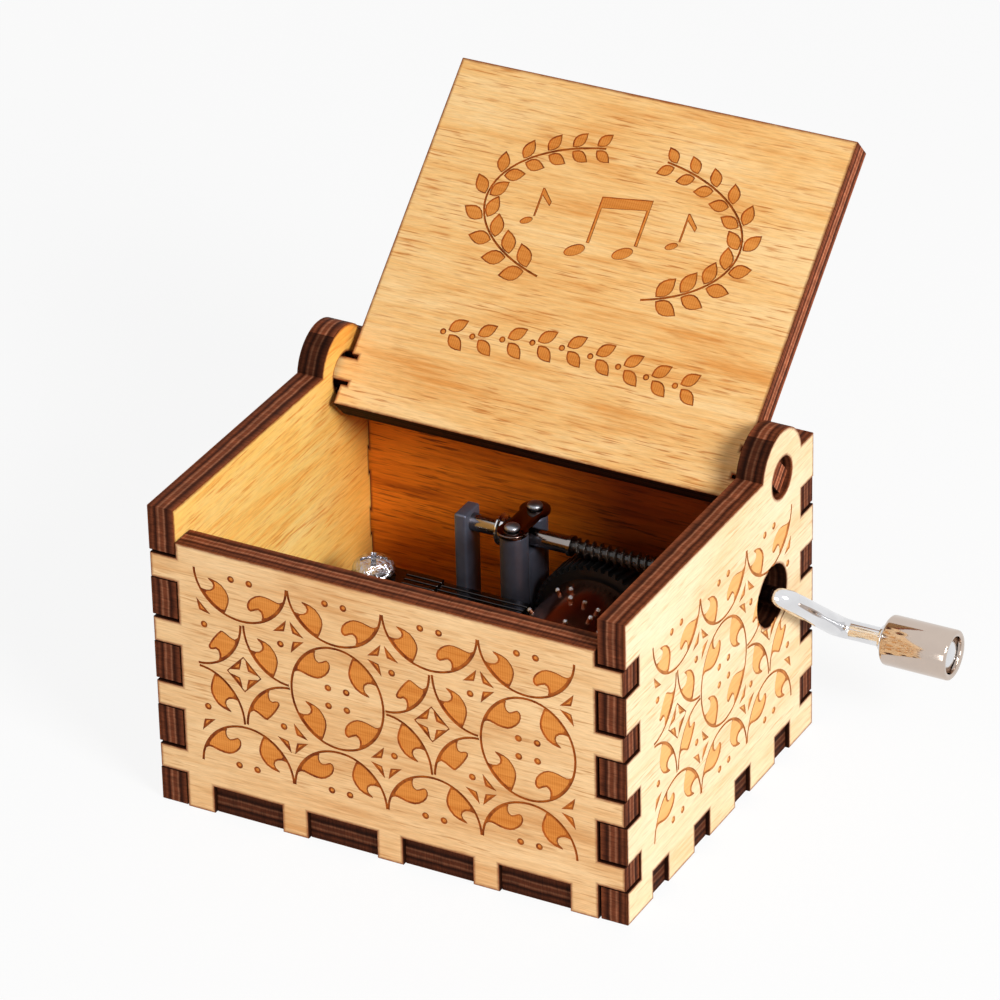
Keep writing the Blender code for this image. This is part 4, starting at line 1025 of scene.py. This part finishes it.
def wormThread():
    only(None)
    bpy.ops.mesh.primitive_circle_add(vertices=8, radius=mm, fill_type="NOTHING")
    made = named("wormThread")
    half, core, crest, pitch = 0.12, crank["wormCore"] - 0.1, crank["wormCrest"], crank["pitch"]
    outline = ((-0.36, core), (-0.30, crank["wormCore"]), (-half, crest - 0.03), (-half + 0.05, crest),
               (half - 0.05, crest), (half, crest - 0.03), (0.30, crank["wormCore"]), (0.36, core))
    for point, (across, radius) in zip(made.data.vertices, outline):
        point.co = (across * mm, radius * mm, 0)
    turns = crank["wormTurns"] - 0.7
    steps = 24 * crank["wormTurns"]
    shaped(made, "SCREW", axis="X", angle=2 * pi * turns, screw_offset=turns * pitch * mm, steps=steps,
           render_steps=steps)
    pick(made, "EDGE", lambda edge: False)
    bpy.ops.mesh.select_non_manifold()
    bpy.ops.mesh.fill_holes(sides=0)
    facedOut(made)
    firstX = crank["wormStart"] + crank["crestShare"] * pitch + 0.05 * pitch
    made.matrix_world = (Matrix.Translation(Vector((firstX, shaft.y, shaft.z)) * mm)
                         @ Matrix.Rotation(crankAngle + 2 * pi * 0.05, 4, "X"))
    return smoothed(settled(made), 40)


def turnedAlong(name, rings, centre, sides):  # round work along the shaft or the spindle
    return turnedPiece(name, [(radius, x) for x, radius in rings], centre, (1, 0, 0), sides)


wormCore, wormStart, shaftRadius = crank["wormCore"], crank["wormStart"], crank["shaft"]
crankPiece = joined("crankRod", [
    bentRod(), wormThread(),
    turnedAlong("wormCore", [(wormStart - 0.2, wormCore), (wormEnd + 0.2, wormCore)], shaftCentre, 32),
    turnedAlong("crankShaft", [
        (-10.2, 1.0), (-10.0, shaftRadius), (4.35, shaftRadius), (4.4, 1.35), (4.85, 1.35), (4.9, wormCore)],
        shaftCentre, 48),
    turnedAlong("crimpRing", [
        (40.6, 1.22), (40.75, 1.6), (41.0, 1.65), (41.2, 1.6), (41.3, 1.22)], spindleCentre, 40),
    turnedAlong("spindleHead", [
        (49.5, 1.3), (49.62, 1.7), (49.85, 1.75), (50.1, 1.5), (50.2, 1.0), (50.22, 0.3)],
        spindleCentre, 40)])
fitted(crankPiece, "crank", "chrome", "chrome dimChrome worm", "crank_rod")
# the rod inside the box takes the darker chrome, which is painted shade
for face in crankPiece.data.polygons:
    x = face.center.x / mm
    face.material_index = 2 if wormStart < x < wormEnd else 1 if x < 30 else 0

start, end = collarLow.x, collarHigh.x
collar = turnedAlong("shaftCollar", [
    (start, 1.2), (start, 1.9), (start + 0.12, 2.08), (start + 0.3, 2.1), (start + 0.42, 1.95),
    (start + 0.55, 1.8), (end - 0.2, 1.8), (end, 1.6), (end, 1.2)], shaftCentre, 48)
fitted(collar, "crank", "chrome", "chrome", "shaft_collar")

start, end = crank["knobLeft"], crank["knobRight"]
knob = turnedAlong("crankKnob", [
    (start, 1.3), (start, 2.6), (start + 0.05, 2.95), (start + 0.25, 3.15), (start + 0.5, 3.2),
    (end - 0.35, 3.2), (end - 0.12, 3.15), (end, 3.0), (end, 2.6), (end - 0.12, 2.42), (end - 0.4, 2.35),
    (end - 1.2, 2.3), (end - 1.2, 1.0)], spindleCentre, 64)
fitted(knob, "knob", "chrome", "knob", "crank_knob")
print("crank made")


# Floor, light and camera

bpy.context.scene.view_settings.view_transform = "Standard"
studio = {"worldLight": 0.22, "floorSize": 4.0, "floorGlow": 0.90, "aim": (0, 0, 0.03),
          "keyLight": {"place": (0.74, -0.36, 0.52), "size": 0.30, "power": 9.4},
          "fillLight": {"place": (0.10, -0.85, 0.16), "size": 0.4, "power": 1.3}}
camera = {"place": (0.3130, -0.5697, 0.4108), "yaw": -28.61, "pitch": 29.90, "roll": -1.35, "lens": 223.7}


def seenOrMirrored(tree):  # 1 for what the camera sees, straight or in metal
    path = node(tree, "LightPath").outputs
    return calc("MAXIMUM", path["Is Camera Ray"],
                calc("MAXIMUM", path["Is Glossy Ray"], path["Is Transmission Ray"]))


def makeWorld():
    world = bpy.data.worlds.new("studioLight")
    bpy.context.scene.world = world
    world.use_nodes = True
    tree = world.node_tree
    back = tree.nodes["Background"]
    level = scaled(seenOrMirrored(tree), 1.0 - studio["worldLight"], studio["worldLight"])
    tree.links.new(level, back.inputs["Strength"])
    back.inputs["Color"].default_value = (1, 1, 1, 1)


def makeFloor():
    only(None)
    bpy.ops.mesh.primitive_plane_add(size=studio["floorSize"], location=(0, 0, 0))
    floor = named("studioFloor")
    made, tree, shader = emptyMaterial("paleFloor")
    shader.inputs["Base Color"].default_value = (0.9, 0.9, 0.9, 1)
    shader.inputs["Roughness"].default_value = 0.9
    shader.inputs["Specular IOR Level"].default_value = 0.1
    glow = node(tree, "Emission", {"Color": (1, 1, 1, 1), "Strength": 1.0})
    share = scaled(seenOrMirrored(tree), studio["floorGlow"])
    blend = node(tree, "MixShader", {0: share, 1: shader.outputs[0], 2: glow.outputs[0]})
    tree.links.new(blend.outputs[0], tree.nodes["Material Output"].inputs[0])
    floor.data.materials.append(made)


def areaLight(name):
    lamp = bpy.data.lights.new(name, "AREA")
    lamp.shape = "SQUARE"
    lamp.size = studio[name]["size"]
    lamp.energy = studio[name]["power"]
    made = placed(name, lamp)
    made.location = studio[name]["place"]
    ahead = Vector(studio["aim"]) - Vector(studio[name]["place"])
    made.rotation_euler = ahead.to_track_quat("-Z", "Y").to_euler()


def makeCamera():
    yaw, pitch, roll = (radians(camera[key]) for key in ("yaw", "pitch", "roll"))
    ahead = Vector((sin(yaw) * cos(pitch), cos(yaw) * cos(pitch), -sin(pitch)))
    level = Vector((cos(yaw), -sin(yaw), 0))
    above = level.cross(ahead)
    right = level * cos(roll) + above * sin(roll)
    up = above * cos(roll) - level * sin(roll)
    lens = bpy.data.cameras.new("photoCamera")
    lens.lens = camera["lens"]
    lens.sensor_width = 36.0
    lens.clip_end = 20.0
    made = placed("photoCamera", lens)
    turn = Matrix((right, up, -ahead)).transposed().to_4x4()
    made.matrix_world = Matrix.Translation(camera["place"]) @ turn
    bpy.context.scene.camera = made


makeWorld()
makeFloor()
areaLight("keyLight")
areaLight("fillLight")
makeCamera()
only(None)
print("studio made")
